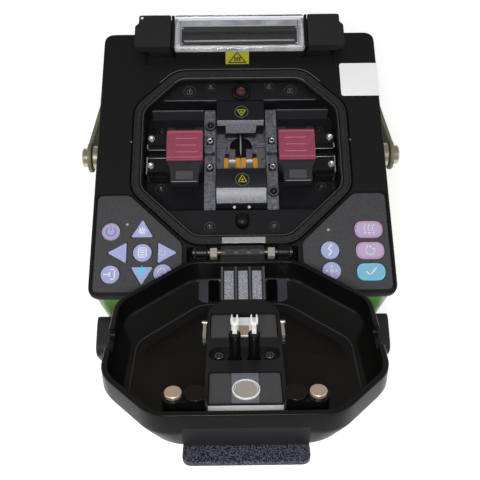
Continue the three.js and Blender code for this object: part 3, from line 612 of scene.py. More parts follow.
# ---------- hinge of the wind cover ----------
def make_hinge():
    barrels = both(rod_x(3.8, 17, 23.2, HINGE_Y, HINGE_Z, 0.5),
                   box(17, 24, HINGE_Y - 2.2, -50.6, TOP - 16.3, HINGE_Z - 1))
    piece("hinge_barrels", barrels, gloss_black, "black_plastic", bevel=0.2)
    lip = lathe([(1.9, 23.2), (3.15, 23.2), (3.15, 23.6), (1.9, 23.6)], closed=True)
    piece("hinge_lips", both(moved(turned(lip, ALONG_X), 0, HINGE_Y, HINGE_Z)), steel_dark, "steel",
          bevel=0.12)
    block = box(12.4, 15.8, -57.2, -52.8, TOP - 1.5, TOP + 3.2)
    piece("hinge_springs", both(block), hinge_metal, "nickel", bevel=0.15)
    pin = rod_x(1.5, -24.6, 24.6, HINGE_Y, HINGE_Z, 0.4)
    piece("hinge_pin", pin, steel_dark, "steel", replaces="cover_hinge_pin")
    edge = [(-60.2, TOP - 1.6), (-59.2, TOP - 1.6), (-59.2, TOP - 0.6), (-60.2, TOP - 0.6)]
    piece("recess_edge", along_x(edge, -27.2, 27.2), satin_black, "black_plastic", bevel=0.3)


# ---------- splicing chamber ----------
def make_chamber():
    deck = join(prism(rounded(inset(BAY, 3), 5, 8), DECK - 3, DECK),
                slab(rect(-54, 54, -32.2, 38.1), 7, FLOOR - 2.6, DECK - 1))
    deck = cut(deck, slab(rect(-51.4, 51.4, -29.6, 35.5), 6, FLOOR, TOP, foot=0.3, steps=8))
    piece("pit", deck, anodised, "black_metal", bevel=0.45, replaces="chamber")
    step = [(35.45, FLOOR), (35.45, FLOOR + 7.5), (34.9, FLOOR + 7.5), (34.3, FLOOR + 6.8),
            (33.6, FLOOR + 1), (33.2, FLOOR)]
    piece("pit_step", both(along_x(step, 20.2, 49)), step_metal, "black_metal", bevel=0.3)
    # a thin metal lip along the front edge of the rear shelf; its light colour paints the highlight on that
    # edge
    piece("pit_edge_highlight", both(box(12.8, 41, 35.35, 35.8, DECK - 0.4, DECK + 0.06)), machined_and_highlight_grey, "black_metal")

    def dish(r):
        return lathe([(r, -0.2), (r, 0.12), (r - 0.35, 0.12), (r * 0.72, -0.15)])
    spots = [(27.5, 41.2, DECK, 3.6), (16, 44, DECK, 2.8), (16.3, -38.8, DECK, 2.9),
             (43.5, -9.5, FLOOR, 3.2), (44, 25.5, FLOOR, 2.6)]
    dishes = both(*[moved(dish(r), *spot) for *spot, r in spots])
    piece("deck_dishes", dishes, lid_black, "black_metal")
    screws = both(*[cap_screw(x, y, z - 0.3, r * 0.55, 0.75) for x, y, z, r in spots])
    piece("deck_screws", screws, steel_dark, "steel")
    bead = lathe([(0.45, 0), (0.3, 0.3)], 10)
    beads = both(*[moved(bead, x - 0.1, y - 0.1, z + 0.2) for x, y, z, r in spots])
    piece("deck_screw_sockets", beads, brushed, "steel")
    bezel = lathe([(5, -0.1), (5, 1.2), (4.5, 1.7), (3.6, 1.7), (3.1, 1.1), (3.1, 0.2)])
    piece("lamp_bezel", moved(bezel, 0.6, 40.6, DECK), gloss_black, "black_plastic")
    dome = lathe([(3, 0), (2.9, 0.9), (2.4, 1.7), (1.5, 2.3), (0.5, 2.55)])
    piece("lamp_dome", moved(dome, 0.6, 40.6, DECK + 0.2), lamp_dark, "black_plastic")
    piece("lamp_core", moved(lathe([(1.4, -0.1), (1.2, 0.25), (0.5, 0.45)], 20), 0.6, 40.8, DECK + 2.3),
          red_lamp, "red_plate")
    bump = [(math.cos(math.radians(a)), math.sin(math.radians(a))) for a in (0, 15, 30, 45, 60, 75, 86)]
    bumper = moved(turned(lathe(bump), Matrix.Diagonal((3.7, 5, 4, 1))), 0.3, -35.2, DECK)
    piece("front_bumper", bumper, gloss_black, "rubber")


def make_stage():
    rails = [box(-19.6, 19.6, -27, 33, FLOOR + 0.3, TOP - 17),
             box(-19.6, -13.5, -27, 33, FLOOR + 0.3, TOP - 10),
             box(13.5, 19.6, -27, 33, FLOOR + 0.3, TOP - 10)]
    stage = cut(join(*rails), box(-21, 21, FIBRE_Y - 1.2, FIBRE_Y + 1.2, TOP - 15, TOP),
                both(box(15.5, 21, -1, 10.5, TOP - 11.2, TOP)),
                moved(lathe([(7, TOP - 19.5), (7, TOP - 10)]), 0, 14, 0))
    piece("stage_rails", stage, cast, "cast_metal", bevel=0.3, replaces="stage_block")
    spots = (-16.2, 22.5), (17, -17)
    piece("stage_cap_screws", merged(*[cap_screw(x, y, TOP - 10.2, 2.9, 1.6) for x, y in spots]),
          satin_black, "black_metal")
    ring = lathe([(2.5, -0.1), (2.5, 0.05), (2.1, 0.05), (2.1, -0.1)], closed=True)
    eyes = copies(ring, *spots), copies(lathe([(0.5, -0.3), (0.4, 0.1)], 16), *spots)
    piece("stage_cap_rings", moved(merged(*eyes), z=TOP - 8.6), machined_and_highlight_grey, "steel")
    bright = [cap_screw(x, y, TOP - 10, 1.6, 1.7) for x in (-16.6, 16.9) for y in (13.2, -2.6)]
    piece("stage_bright_screws", merged(*bright), brushed, "nickel")
    clips = boxes(TOP - 10, TOP - 9.4, (14.6, 18.4, 11.2, 15.4), (14.6, 18.4, -4.8, -0.6))
    piece("stage_clips", both(clips), deep_black, "black_metal", bevel=0.15)

    steps = [(rect(7.2, 13.2, -2.2, 9), SEAT, TOP - 15.2), (rect(9.8, 13.2, 9, 12.6), SEAT, TOP - 15.9)]
    ledges = merged(*[prism(plan, z0, z1) for plan, z0, z1 in steps])
    ledge = cut(ledges, moved(lathe([(2, TOP - 17), (2, TOP - 14)]), 13.2, 4.2, 0))
    piece("groove_ledges", both(ledge), machined_and_highlight_grey, "cast_metal", bevel=0.3)
    bars = both(boxes(SEAT, TOP - 15, (7.2, 13.4, 12.7, 13.4), (9.3, 13.4, 16.4, 17.3)),
                box(13.5, 13.9, -20, 30, TOP - 12, TOP - 9.9))
    piece("stage_bars", bars, machined_and_highlight_grey, "cast_metal", bevel=0.15)
    lens = lathe([(7, -17.5), (7, -16.6), (6.4, -16.4), (5, -18), (3, -18.6)])
    piece("lens_ring", moved(lens, 0.2, 14.6, TOP), gloss_black, "black_metal")
    bridge = cut(box(-7.1, 7.1, 9.1, 18.9, SEAT + 0.2, TOP - 15.9),
                 moved(lathe([(6.1, TOP - 18), (6.1, TOP - 15)], 40), 0.2, 12.9))
    piece("lens_bridge", bridge, cast, "cast_metal", bevel=0.2)
    groove = [(-0.8, SEAT), (5.4, SEAT), (5.4, FIBRE_Z + 0.2), (-0.8, FIBRE_Z + 0.2)]
    half = merged(along_x(groove, 0.25, 2.7), along_x(groove, 6.6, 9.1))
    for side, sign in SIDES:
        piece(f"groove_{side}", flipped(half, sign), amber, "ceramic", bevel=0.25,
              replaces=f"vgroove_{side}")
    outer = [(5.5, SEAT), (7.9, SEAT), (7.9, FIBRE_Z + 0.1), (5.5, FIBRE_Z + 0.1)]
    inner = [(5.5, SEAT), (7, SEAT), (7, FIBRE_Z), (5.5, FIBRE_Z)]
    tops = merged(along_x(outer, 6.6, 8.6), along_x(inner, 0.25, 1.9))
    piece("groove_tops", both(tops), deep_black, "black_metal", bevel=0.2)
    piece("groove_blocks", both(box(2.9, 6.3, 4.7, 10.6, SEAT, FIBRE_Z + 0.6)), mauve, "cast_metal",
          bevel=0.35)
    piece("fibre_ledges", both(box(2.75, 6.5, 3.4, 4.6, SEAT, FIBRE_Z - 0.1)), ceramic, "ceramic",
          bevel=0.2)

    cap = [(21.4, SEAT), (35.2, SEAT), (35.2, DECK), (23, DECK), (21.4, DECK - 2.7)]
    nose = [(19, SEAT), (22, SEAT), (22, DECK - 1.8), (19, DECK - 6.7)]
    rear = cut(join(along_x(cap, -12.8, 12.8), along_x(nose, -8.3, 8.3)),
               box(-1.2, 1.2, 17, 22, SEAT - 1, FIBRE_Z + 1.4))
    cap = [(-26, SEAT), (-5.7, SEAT), (-5.7, DECK), (-17, DECK), (-23.4, DECK - 5), (-26, DECK - 9)]
    front = cut(along_x(cap, -13.1, 13.1), box(-1.2, 1.2, -10, -5, SEAT - 1, FIBRE_Z + 1.4))
    for end, shape, steep in (("rear", rear, 0.5), ("front", front, 0.6)):
        cover = piece(f"arc_cover_{end}", shape, anodised, "black_metal", bevel=0.35,
                      replaces=f"electrode_cover_{end}")
        # faces that slope up towards the front get the lighter grey: a painted lit side, lighter because
        # they face the flash
        cover.data.materials.append(lit_slope_grey)
        for face in cover.data.polygons:
            if face.normal.y < -0.45 and face.normal.z > steep and face.area > 2e-6:
                face.material_index = 1
    for end, y, turn in (("rear", 28, 270), ("front", -12.4, 90)):
        badge = lathe([(3.7, 0), (3.7, 0.25), (3.4, 0.4)])
        rim = lathe([(3.7, 0.3), (3.7, 0.5), (3.35, 0.5), (3.35, 0.3)], closed=True)
        outline = arc(0, 0, 2.6, turn, turn + 360, steps=3)
        piece(f"badge_{end}", moved(badge, 0.6, y, DECK), satin_black, "black_plastic")
        piece(f"badge_rim_{end}", moved(rim, 0.6, y, DECK), machined_and_highlight_grey, "steel")
        mark = merged(stroke(outline, 0.5, 0.36, 0.5), lathe([(0.7, 0.36), (0.5, 0.5)], 12))
        piece(f"badge_sign_{end}", moved(mark, 0.6, y, DECK), yellow, "ceramic")
    bead = lathe([(0.2, -0.9), (0.7, -0.5), (0.85, 0), (0.7, 0.5), (0.25, 0.85)], 16)
    piece("arc_beads", copies(bead, (-3.7, -25, TOP - 11), (4, -25, TOP - 11)), ceramic, "nickel")
    for end, start, stop in (("rear", 21.4, FIBRE_Y + 0.7), ("front", -9.4, FIBRE_Y - 0.7)):
        way = math.copysign(1, stop - start)
        needle = [(0.55, start * way), (0.55, stop * way - 3.4), (0.32, stop * way - 1.4),
                  (0.05, stop * way)]
        shape = turned(moved(turned(lathe(needle, 16), ALONG_Y), 0, 0, FIBRE_Z),
                       Matrix.Diagonal((1, way, 1, 1)))
        piece(f"needle_{end}", shape, brushed, "tungsten", replaces=f"electrode_{end}")


# ---------- fibre clamps ----------
def make_clamp(side, sign):
    top, low = TOP - 8.6, FLOOR + 0.3
    axis_y, axis_z = 17.5, TOP - 5.6
    base = join(box(20, 50, -6, 15, low, top), box(39.5, 50, 14, 17.6, low, top),
                box(24.5, 34.4, 14, 20.2, low, top), rod_x(2.2, 24.5, 34.4, axis_y, axis_z),
                box(24.5, 34.4, 16.3, 19.7, top - 2, TOP - 5.6))
    base = cut(base, box(19, 51, FIBRE_Y - 2.4, FIBRE_Y + 2.4, top - 6, TOP),
               box(39.4, 51, 8, 10.8, top - 1.4, TOP), box(39.4, 51, 2.2, 3.8, top - 1.4, TOP),
               rod_x(1.25, 20, 50, axis_y, axis_z), box(39.4, 51, -7, -5.2, top - 5, TOP))
    stage = f"fibre_stage_{side}"
    piece(f"clamp_stage_{side}", flipped(base, sign), anodised, "black_metal", stage, bevel=0.35,
          replaces=f"clamp_base_{side}")
    plate = join(box(49.6, 50.3, 8.4, 11.2, low + 2, top + 0.3),
                 box(49.6, 50.3, -6.2, 3.6, low + 2, top + 0.3))
    edges = merged(plate, box(40, 49.6, 8.25, 8.6, top - 1.5, top - 1.1),
                   box(40, 49.6, 3.4, 3.75, top - 1.5, top - 1.1))
    piece(f"clamp_ends_{side}", flipped(edges, sign), brushed, "steel", stage, bevel=0.12)
    screws = merged(*[cap_screw(47.9, y, top - 0.4, 1.9, 1.4) for y in (14.4, -1.8)])
    piece(f"clamp_screws_{side}", flipped(screws, sign), brushed, "nickel", stage)
    rod = rod_x(0.95, 20.1, 38.7, axis_y, axis_z, 0.2, 20)
    piece(f"clamp_pin_{side}", flipped(rod, sign), brushed, "steel", stage)

    z0, z1 = TOP - 8.2, TOP - 1.2
    plan = [(19.9, 15), (19.9, -2.9), (22.2, -7.6), (22.2, -15.4), (36.6, -15.4), (36.6, -7.6),
            (38.9, -2.9), (38.9, 15)]
    body = prism(rounded(plan, (0.5, 1.5, 2.5, 1, 1, 2.5, 1.5, 0.5), 5), z0, z1)
    body = cut(body, along_x([(-16, z1 + 1), (-16, z1 - 3.4), (-14.6, z1 + 1)], 19, 40),
               slab(rect(24.6, 34.2, -13.4, -8), 0.8, z1 - 0.5, z1 + 1),
               along_x([(-16, z0 - 1), (-16, z0 + 2.6), (-9, z0 - 1)], 19, 40))
    eyes = [rod_x(2.2, a, b, axis_y, axis_z) for a, b in ((19.9, 24.1), (34.7, 38.9))]
    links = [box(a, b, 14, 17.5, TOP - 7, TOP - 3.4) for a, b in ((19.9, 24.1), (34.7, 38.9))]
    body = cut(join(body, *eyes, *links), rod_x(1.25, 19, 40, axis_y, axis_z))
    lid = f"fibre_lid_{side}"
    piece(f"clamp_top_{side}", flipped(body, sign), lid_black, "black_metal", lid, bevel=0.4,
          replaces=f"clamp_lid_{side}")
    inlay = slab(rect(24.8, 34, -13.2, -8.2), 0.7, z1 - 0.5, z1 - 0.1, edge=0.15)
    piece(f"clamp_inlay_{side}", flipped(inlay, sign), grey_plate, "black_metal", lid)
    lip = [(-15.2, z1 - 1.3), (-14.9, z1 - 1.3), (-14.4, z1 + 0.05), (-14.75, z1 + 0.05)]
    piece(f"clamp_lip_{side}", flipped(along_x(lip, 22.9, 35.9), sign), brushed, "steel", lid)
    red = slab(rect(19.9, 38.9, -2.9, 14.8), 0.8, TOP - 0.9, TOP + 0.1, edge=0.25)
    piece(f"clamp_face_{side}", flipped(red, sign), crimson, "red_plate", lid,
          replaces=f"clamp_plate_{side}")
    under = box(20.6, 38.2, -2.2, 14.2, z1 - 0.1, TOP - 0.88)
    piece(f"clamp_bond_{side}", flipped(under, sign), deep_black, "black_metal", lid)
    lines = [stroke([(22.9 + (0.6 if i == 1 else 0), y), (34.1, y)], 0.3, TOP + 0.05, TOP + 0.14)
             for i, y in enumerate((9.9, 5.9, 1.9))]
    lines += [stroke([(20.4, y), (38.4, y)], 0.22, TOP + 0.05, TOP + 0.13) for y in (13.7, -1.1)]
    piece(f"clamp_lines_{side}", flipped(merged(*lines), sign), pale_red, "red_plate", lid)


# ---------- tube heater ----------
def make_heater():
    floor = join(box(-49.4, 49.4, 61.7, 81.4, TOP - 0.7, TOP + 3.3),
                 box(-35.2, 35.2, 60.8, 81.4, TOP - 0.7, TOP + 5.2))
    trough = along_x([(68, TOP + 1.3), (74, TOP + 1.3), (76.4, TOP + 9), (68, TOP + 9)], -58, 58)
    base = cut(floor, trough, box(-33.4, 33.4, 62.6, 80, TOP + 4, TOP + 9))
    piece("heater_body", base, satin_black, "black_metal", bevel=0.3, replaces="heater_base")
    liner = cut(box(-33.2, 33.2, 62.8, 79.8, TOP + 3.9, TOP + 4.4), box(-34, 34, 68.1, 73.9, TOP, TOP + 9))
    gutter = box(-33.2, 33.2, 68.1, 73.9, TOP + 1.2, TOP + 1.6)
    piece("heater_trough", merged(liner, gutter), trough_metal, "cast_metal", bevel=0.1)
    brackets = both(slab(rect(35.6, 37, 60.6, 81.6), 0.4, TOP - 0.7, TOP + 8.3),
                    box(35.5, 37.1, 80.6, 82, TOP + 3, TOP + 8.6))
    piece("heater_brackets", brackets, gloss_black, "black_metal", bevel=0.25)
    # painted highlight: a dotted white line along the front edge of the trough
    dots = [box(x, x + 0.6, 67.0, 67.9, TOP + 4.4, TOP + 4.8) for x in [-30 + 1.1 * i for i in range(55)]]
    piece("heater_groove_highlight", merged(*dots, box(-30, 30.3, 67.3, 67.7, TOP + 4.4, TOP + 4.6)), print_and_highlight_white,
          "ceramic")
    lid = cut(slab(rect(-35.2, 35.2, 59.8, 82.4), 1, TOP + 5.5, TOP + 8.6, edge=0.9, foot=0.2),
              slab(rect(-32.2, 32.2, 62.6, 79.6), 0.6, TOP + 5, TOP + 7.3, edge=0.5))
    piece("heater_window", lid, glass, "clear_plastic", "heater_lid", bevel=0.15, replaces="heater_lid")
    rims = [(-34.4, 34.4, 77.2, 81.2), (-34.4, 34.4, 60.3, 62.6), (-34.6, -31.6, 62.6, 77.2),
            (31.6, 34.6, 62.6, 77.2)]
    piece("heater_rims", boxes(TOP + 5.55, TOP + 5.7, *rims), rim_lilac, "clear_plastic", "heater_lid")
    # painted highlights: white hair lines on the edges of the lid's glass
    edges = merged(boxes(TOP + 8.5, TOP + 8.64, (-33.6, 33.6, 78.4, 79.6), (-34.2, 34.2, 60.5, 60.9)),
                   box(-34, 34, 76.2, 76.9, TOP + 5.6, TOP + 5.9),
                   both(box(33.7, 34.1, 61.4, 77.6, TOP + 8.5, TOP + 8.64),
                        box(31.8, 32.1, 62.8, 77, TOP + 5.6, TOP + 5.9),
                        boxes(TOP + 5.6, TOP + 6, (30.6, 33.4, 74.8, 75.3), (30.6, 33.4, 64.6, 65.1))))
    piece("heater_glass_highlights", edges, print_and_highlight_white, "clear_plastic", "heater_lid")
    for side, sign in SIDES:
        plan = [(37.4, 61.7), (57, 61.7), (57, 75.4), (55, 77), (55, 82.4), (37.4, 82.4)]
        block = prism(rounded(plan, (0.8, 1.5, 1, 1, 1.4, 1.2), 5), TOP + 3.6, TOP + 8.3)
        block = cut(block, box(36, 58, 70, 72, TOP + 2, TOP + 4.6),
                    box(54.2, 58, 60, 62.6, TOP + 3, TOP + 6))
        piece(f"heater_block_{side}", flipped(block, sign), heater_grey,
              "black_plastic", f"heater_clamp_{side}", bevel=0.5, replaces=f"heater_clamp_{side}")
    pip = moved(lathe([(0.8, 0), (0.6, 0.2)], 14), -53.3, 80.6, TOP + 8.28)
    piece("heater_pip", pip, print_and_highlight_white, "black_plastic", "heater_clamp_left")


# ---------- wind cover, drawn closed ----------
def cover_ring(distance, z):
    share = max(0, (z - KNEE) / (ROOF - KNEE))
    plan = [tuple(Vector(low).lerp(Vector(high), share)) for low, high in zip(COVER_RIM, COVER_TOP)]
    return at(rounded(inset(plan, distance), 7 - distance / 2, 10), z)


def make_cover():
    profile = [(7.5, CEILING), (5.2, CEILING - 0.1), (2.9, CEILING - 2), (2.5, CEILING - 2.8),
               (2.5, KNEE + 1), (2.5, KNEE - 1), (2.5, RIM + 0.5), (2.3, RIM + 0.15), (1.9, RIM),
               (0.6, RIM), (0.2, RIM + 0.15), (0, RIM + 0.6), (0, KNEE - 1), (0, KNEE + 1), (0, ROOF - 3),
               (0.4, ROOF - 1.6), (1.3, ROOF - 0.5), (2.8, ROOF)]
    notch = along_x(rounded([(3, TOP - 1), (14.5, TOP - 1), (14.5, TOP + 4.5), (3, TOP + 4.5)],
                            (0, 0, 2, 2)), -60, 60)
    shell = cut(loft([cover_ring(d, z) for d, z in profile]), notch)
    cover_piece("cover_shell_skin", shell, gloss_black, "cover_black", bevel=0.15, replaces="cover_shell")
    # painted highlight: a thin lighter band along the crease between the cover's ceiling and its walls
    fold = [(4.1, -1.12), (3.84, -1.33), (3.79, -1.22), (4.03, -1.02)]
    crease = loft([cover_ring(d, CEILING + h) for d, h in fold], closed=True)
    cover_piece("cover_crease_highlight", crease, painted_sheen_blue, "cover_black")
    # painted shade: near-black strips on the hinge wall beside the arm stand for the dark gaps there
    slot = [(-44.6, TOP + 10.4), (-35.6, TOP + 17.4), (-36, TOP + 18), (-45, TOP + 11)]
    cover_piece("cover_slot_shade", both(along_x(slot, 11.6, 16.4)), painted_shade_black, "black_plastic")
    # fins beside the slots; their light blue-grey is a painted sheen, the reflection of light on the hinge
    # wall
    fin = [(-45.2, TOP + 10.7), (-44.3, TOP + 10.2), (-33.9, TOP + 18.4), (-34.9, TOP + 19.1)]
    cover_piece("cover_fins", both(along_x(fin, 16.6, 21.4)), painted_sheen_blue, "cover_black", bevel=0.3)
    ring = lathe([(6.2, 0.1), (6.2, -0.12), (5.7, -0.12), (5.7, 0.1)], closed=True)
    rings = copies(ring, (-33, -7, CEILING), (33, -7, CEILING))
    cover_piece("cover_mould_marks", rings, gloss_black, "cover_black")
    tab = prism(rounded([(-24, 44), (24, 44), (24, 57.8), (-24, 57.8)], (0, 0, 4, 4), 8), TOP + 19.3, ROOF)
    cover_piece("cover_tab", tab, sparkle, "cover_black", bevel=0.5)
    root = along_x([(49.5, KNEE - 3), (52.03, KNEE - 3), (52.03, KNEE), (50, TOP + 19.4),
                    (47, TOP + 19.4)], -23.9, 23.9)
    cover_piece("cover_tab_root", root, heater_grey, "cover_black", bevel=0.2)

    barrel = join(rod_x(3.2, -10.6, 10.6, HINGE_Y, HINGE_Z),
                  box(-10.6, 10.6, HINGE_Y, -45.4, RIM, HINGE_Z + 2.9))
    toward = tilt(-34, 0, HINGE_Y, HINGE_Z)
    wells = [turned(box(x - 2.1, x + 2.1, 2.4, 4, -1.2, 1.2), toward) for x in (-6.2, 0, 6.2)]
    barrel = cut(barrel, rod_x(1.85, -12, 12, HINGE_Y, HINGE_Z), *wells)
    cover_piece("cover_barrel", barrel, lid_black, "cover_black", bevel=0.3)
    # painted shade: dark beds at the bottoms of the barrel's wells
    beds = [turned(box(x - 2, x + 2, 2.3, 2.5, -1.1, 1.1), toward) for x in (-6.2, 0, 6.2)]
    cover_piece("cover_barrel_well_shade", merged(*beds), deep_black, "cover_black")

    back = CEILING - 0.1
    arm = [(ARM_Y, ARM_Z), (-27, FACE + 1), (-26, back), (-29, back), (ARM_Y, TOP + 9)]
    outline = [(-12.6, -26.5), (12.6, -26.5), (16.4, -20.5), (16.4, 41.5), (-16.4, 41.5), (-16.4, -20.5)]
    platform = slab(outline, 2, FACE, back, foot=0.9)
    recesses = [slab(rect(-14.9, 14.9, -18.4, -0.9), 1.6, FACE - 1, FACE + 4),
                slab(rect(-14.9, 14.9, 5, 13.1), 4, FACE - 1, FACE + 2.5, steps=8),
                slab(rect(-14.7, 14.7, 19.8, 37.4), 1.6, FACE - 1, FACE + 2)]
    pits = [moved(lathe([(2.9, FACE), (2.9, FACE + 6)]), x, PRESSER_Y) for x in (-PRESSER_X, PRESSER_X)]
    platform = cut(join(platform, along_x(arm, -10.5, 10.5)), *recesses, *pits)
    cover_piece("cover_platform", platform, satin_black, "black_plastic", bevel=0.45,
                replaces="cover_bridge")
    lay = tilt(math.degrees(math.atan2(FACE + 1 - ARM_Z, -27 - ARM_Y)), 0, ARM_Y, ARM_Z)
    ribs = merged(*[slab(rect(x - 0.55, x + 0.55, 0.4, 18.4), 0.4, -0.8, 0.2, foot=0.25)
                    for x in (-9.9, -3.3, 3.3, 9.9)])
    cover_piece("cover_ribs", turned(ribs, lay), grey_plate, "black_plastic", bevel=0.15)
    cards = merged(*[box(x - 2.2, x + 2.2, 2.6, 18, -0.12, 0.1) for x in (-6.6, 0, 6.6)])
    cover_piece("cover_panels", turned(cards, lay), panel_grey, "black_plastic")

    plates = both(slab(rect(5.8, 14.6, -18.1, -1.2), 1.2, FACE + 1.2, FACE + 3.9),
                  slab(rect(5.6, 14.4, 20.1, 37.1), 1.2, FACE + 0.6, FACE + 1.9))
    cover_piece("cover_plates", plates, grey_plate, "black_plastic", bevel=0.2)
    bed = merged(box(-5.9, 5.9, -18.1, -1.2, FACE + 2.4, FACE + 3.9),
                 box(-5.7, 5.7, 20.1, 37.1, FACE + 0.8, FACE + 1.9))
    cover_piece("cover_beds", bed, satin_black, "black_plastic")
    # the front mirror is a bright white plate: its colour is a painted reflection
    front = slab(rect(-5.7, 5.7, -16.5, -4), 0.4, FACE + 1.3, FACE + 2.5, foot=0.4)
    cover_piece("mirror_front", front, silver_and_painted_reflection, "mirror", bevel=0.1, replaces="cover_mirror_front")
    # painted reflection: a tan patch on the front mirror
    cover_piece("mirror_tan_reflection", slab(rect(-2.3, 2.3, -10.6, -4.2), 0.8, FACE + 1.2, FACE + 1.4),
                nickel_and_tan_reflection, "mirror", bevel=0.05)
    rear = moved(lathe([(4.4, FACE + 0.1), (5, FACE + 0.6), (5, FACE + 1.7)], 40), 0.3, 29.6)
    cover_piece("mirror_rear", rear, mirror, "mirror", bevel=0.12, replaces="cover_mirror_rear")
    rim = lathe([(5.6, 1.4), (5.6, 0.1), (5.1, -0.1), (5.1, 1.4)], 40, closed=True)
    cover_piece("mirror_rim", moved(rim, 0.3, 29.6, FACE), silver_and_painted_reflection, "black_plastic")
    cover_piece("mirror_backing", box(-5.5, 5.5, 20.3, 36.8, FACE + 0.5, FACE + 0.9), blue_plate,
                "mirror", bevel=0.05)
    strip = slab(rect(-14.8, 14.8, 39.4, 42), 0.3, FACE - 1, FACE - 0.2, foot=0.2)
    cover_piece("cover_strip", strip, silver_and_painted_reflection, "steel", bevel=0.1)
    cover_piece("cover_strip_bar", box(-15.2, 15.2, 38.2, 42.2, FACE - 0.25, back), satin_black,
                "black_plastic", bevel=0.2)
    screws = [turned(cap_screw(0, 0, 0, 2, 1.6), tilt(180, x, 9, FACE + 2.5)) for x in (-10.8, 10.8)]
    cover_piece("cover_screws", merged(*screws), steel_dark, "steel")
    clips = both(box(17, 18.6, -19.6, -10.2, TOP + 17, TOP + 18.9),
                 rod_x(0.9, 16.4, 19.4, -20.2, TOP + 17.4))
    cover_piece("cover_clips", clips, brushed, "steel", bevel=0.1)

    post = [(4.1, TOP + 0.9), (4.4, TOP + 1.2), (4.4, CEILING + 0.5)]
    low_post = [(4.1, TOP + 0.1), (4.4, TOP + 0.4), (4.4, CEILING + 0.5)]
    posts = both(moved(lathe(post), 27.3, 41.2), moved(lathe(low_post), 18.8, 41.1),
                 box(19, 27.3, 39, 45, TOP + 1.6, CEILING + 0.5))
    cover_piece("magnet_posts", posts, gloss_black, "cover_black", bevel=0.15)
    for side, sign in SIDES:
        disc = moved(lathe([(3, TOP - 0.6), (3.3, TOP - 0.3), (3.3, TOP + 1)]), sign * 27.3, 41.2)
        cover_piece(f"magnet_disc_{side}", disc, nickel_and_tan_reflection, "nickel", bevel=0.1,
                    replaces=f"magnet_{side}")
        x = sign * PRESSER_X
        stem = lathe([(1.2, TOP - 1.7), (2.2, TOP - 1.5), (2.5, TOP - 1.1), (2.5, TOP + 0.3),
                      (2.3, TOP + 0.5), (2.3, FACE + 3)], 28)
        cover_piece(f"presser_stem_{side}", moved(stem, x, PRESSER_Y), gloss_black, "black_plastic",
                    f"presser_{side}", replaces=f"fibre_presser_{side}")
        prong = [(0.5, TOP - 4.6), (0.6, TOP - 6), (0.8, TOP - 8), (1.35, TOP - 8), (1.75, TOP - 6),
                 (1.6, TOP - 3.9)]
        fork = merged(*[flipped(along_y(prong, 5.2, 7), k) for k in (-1, 1)],
                      box(-1.6, 1.6, 5.2, 7, TOP - 4.9, TOP - 3.8),
                      box(-0.95, 0.95, 5.4, 10.2, TOP - 4, TOP - 1.4))
        cover_piece(f"presser_fork_{side}", moved(fork, x), ceramic, "ceramic", f"presser_{side}",
                    bevel=0.2)


# ---------- carrying handle ----------
def make_handle():
    inner, outer, far = 79, 81, PIVOT_Y + 105
    plan = [(-outer, PIVOT_Y), (-inner, PIVOT_Y), (-inner, far - 2), (inner, far - 2), (inner, PIVOT_Y),
            (outer, PIVOT_Y), (outer, far), (-outer, far)]
    strap = prism(rounded(plan, (0, 0, 8, 8, 0, 0, 10, 10), 10), PIVOT_Z - 7, PIVOT_Z + 7)
    eyes = [rod_x(8, *xs, PIVOT_Y, PIVOT_Z, 0.4, 36) for xs in ((-outer, -inner), (inner, outer))]
    bail = cut(join(strap, *eyes), rod_x(3.4, -90, 90, PIVOT_Y, PIVOT_Z))
    piece("bail", bail, olive, "olive_paint", "handle", HUNG, bevel=0.5, replaces="handle_bail")
    grip = slab(rect(-45, 45, far - 4.2, far + 1.2), 1.4, PIVOT_Z - 8, PIVOT_Z + 8, edge=1.2, foot=1.2)
    piece("bail_grip", grip, rubber, "olive_paint", "handle", HUNG)
    for side, sign in SIDES:
        ring = lathe([(3.3, 74.7), (6, 74.7), (6.3, 75), (6.3, 78.4), (6, 78.7), (3.3, 78.7)], closed=True)
        piece(f"pivot_spacer_{side}", flipped(moved(turned(ring, ALONG_X), 0, PIVOT_Y, PIVOT_Z), sign),
              nickel, "nickel", bevel=0.15, replaces=f"handle_spacer_{side}")
        rings = ((3, 69.4), (3, 81.3), (4.9, 81.3), (5.1, 81.5), (5.1, 83.7), (4.5, 84.3))
        socket = [at(hexagon(2.6), 84.3), at(hexagon(2.4), 82.4)]
        head = loft([at(circle(r, sides=24), x) for r, x in rings] + socket)
        piece(f"pivot_bolt_{side}", flipped(moved(turned(head, ALONG_X), 0, PIVOT_Y, PIVOT_Z), sign),
              nickel, "nickel", bevel=0.12, replaces=f"handle_bolt_{side}")


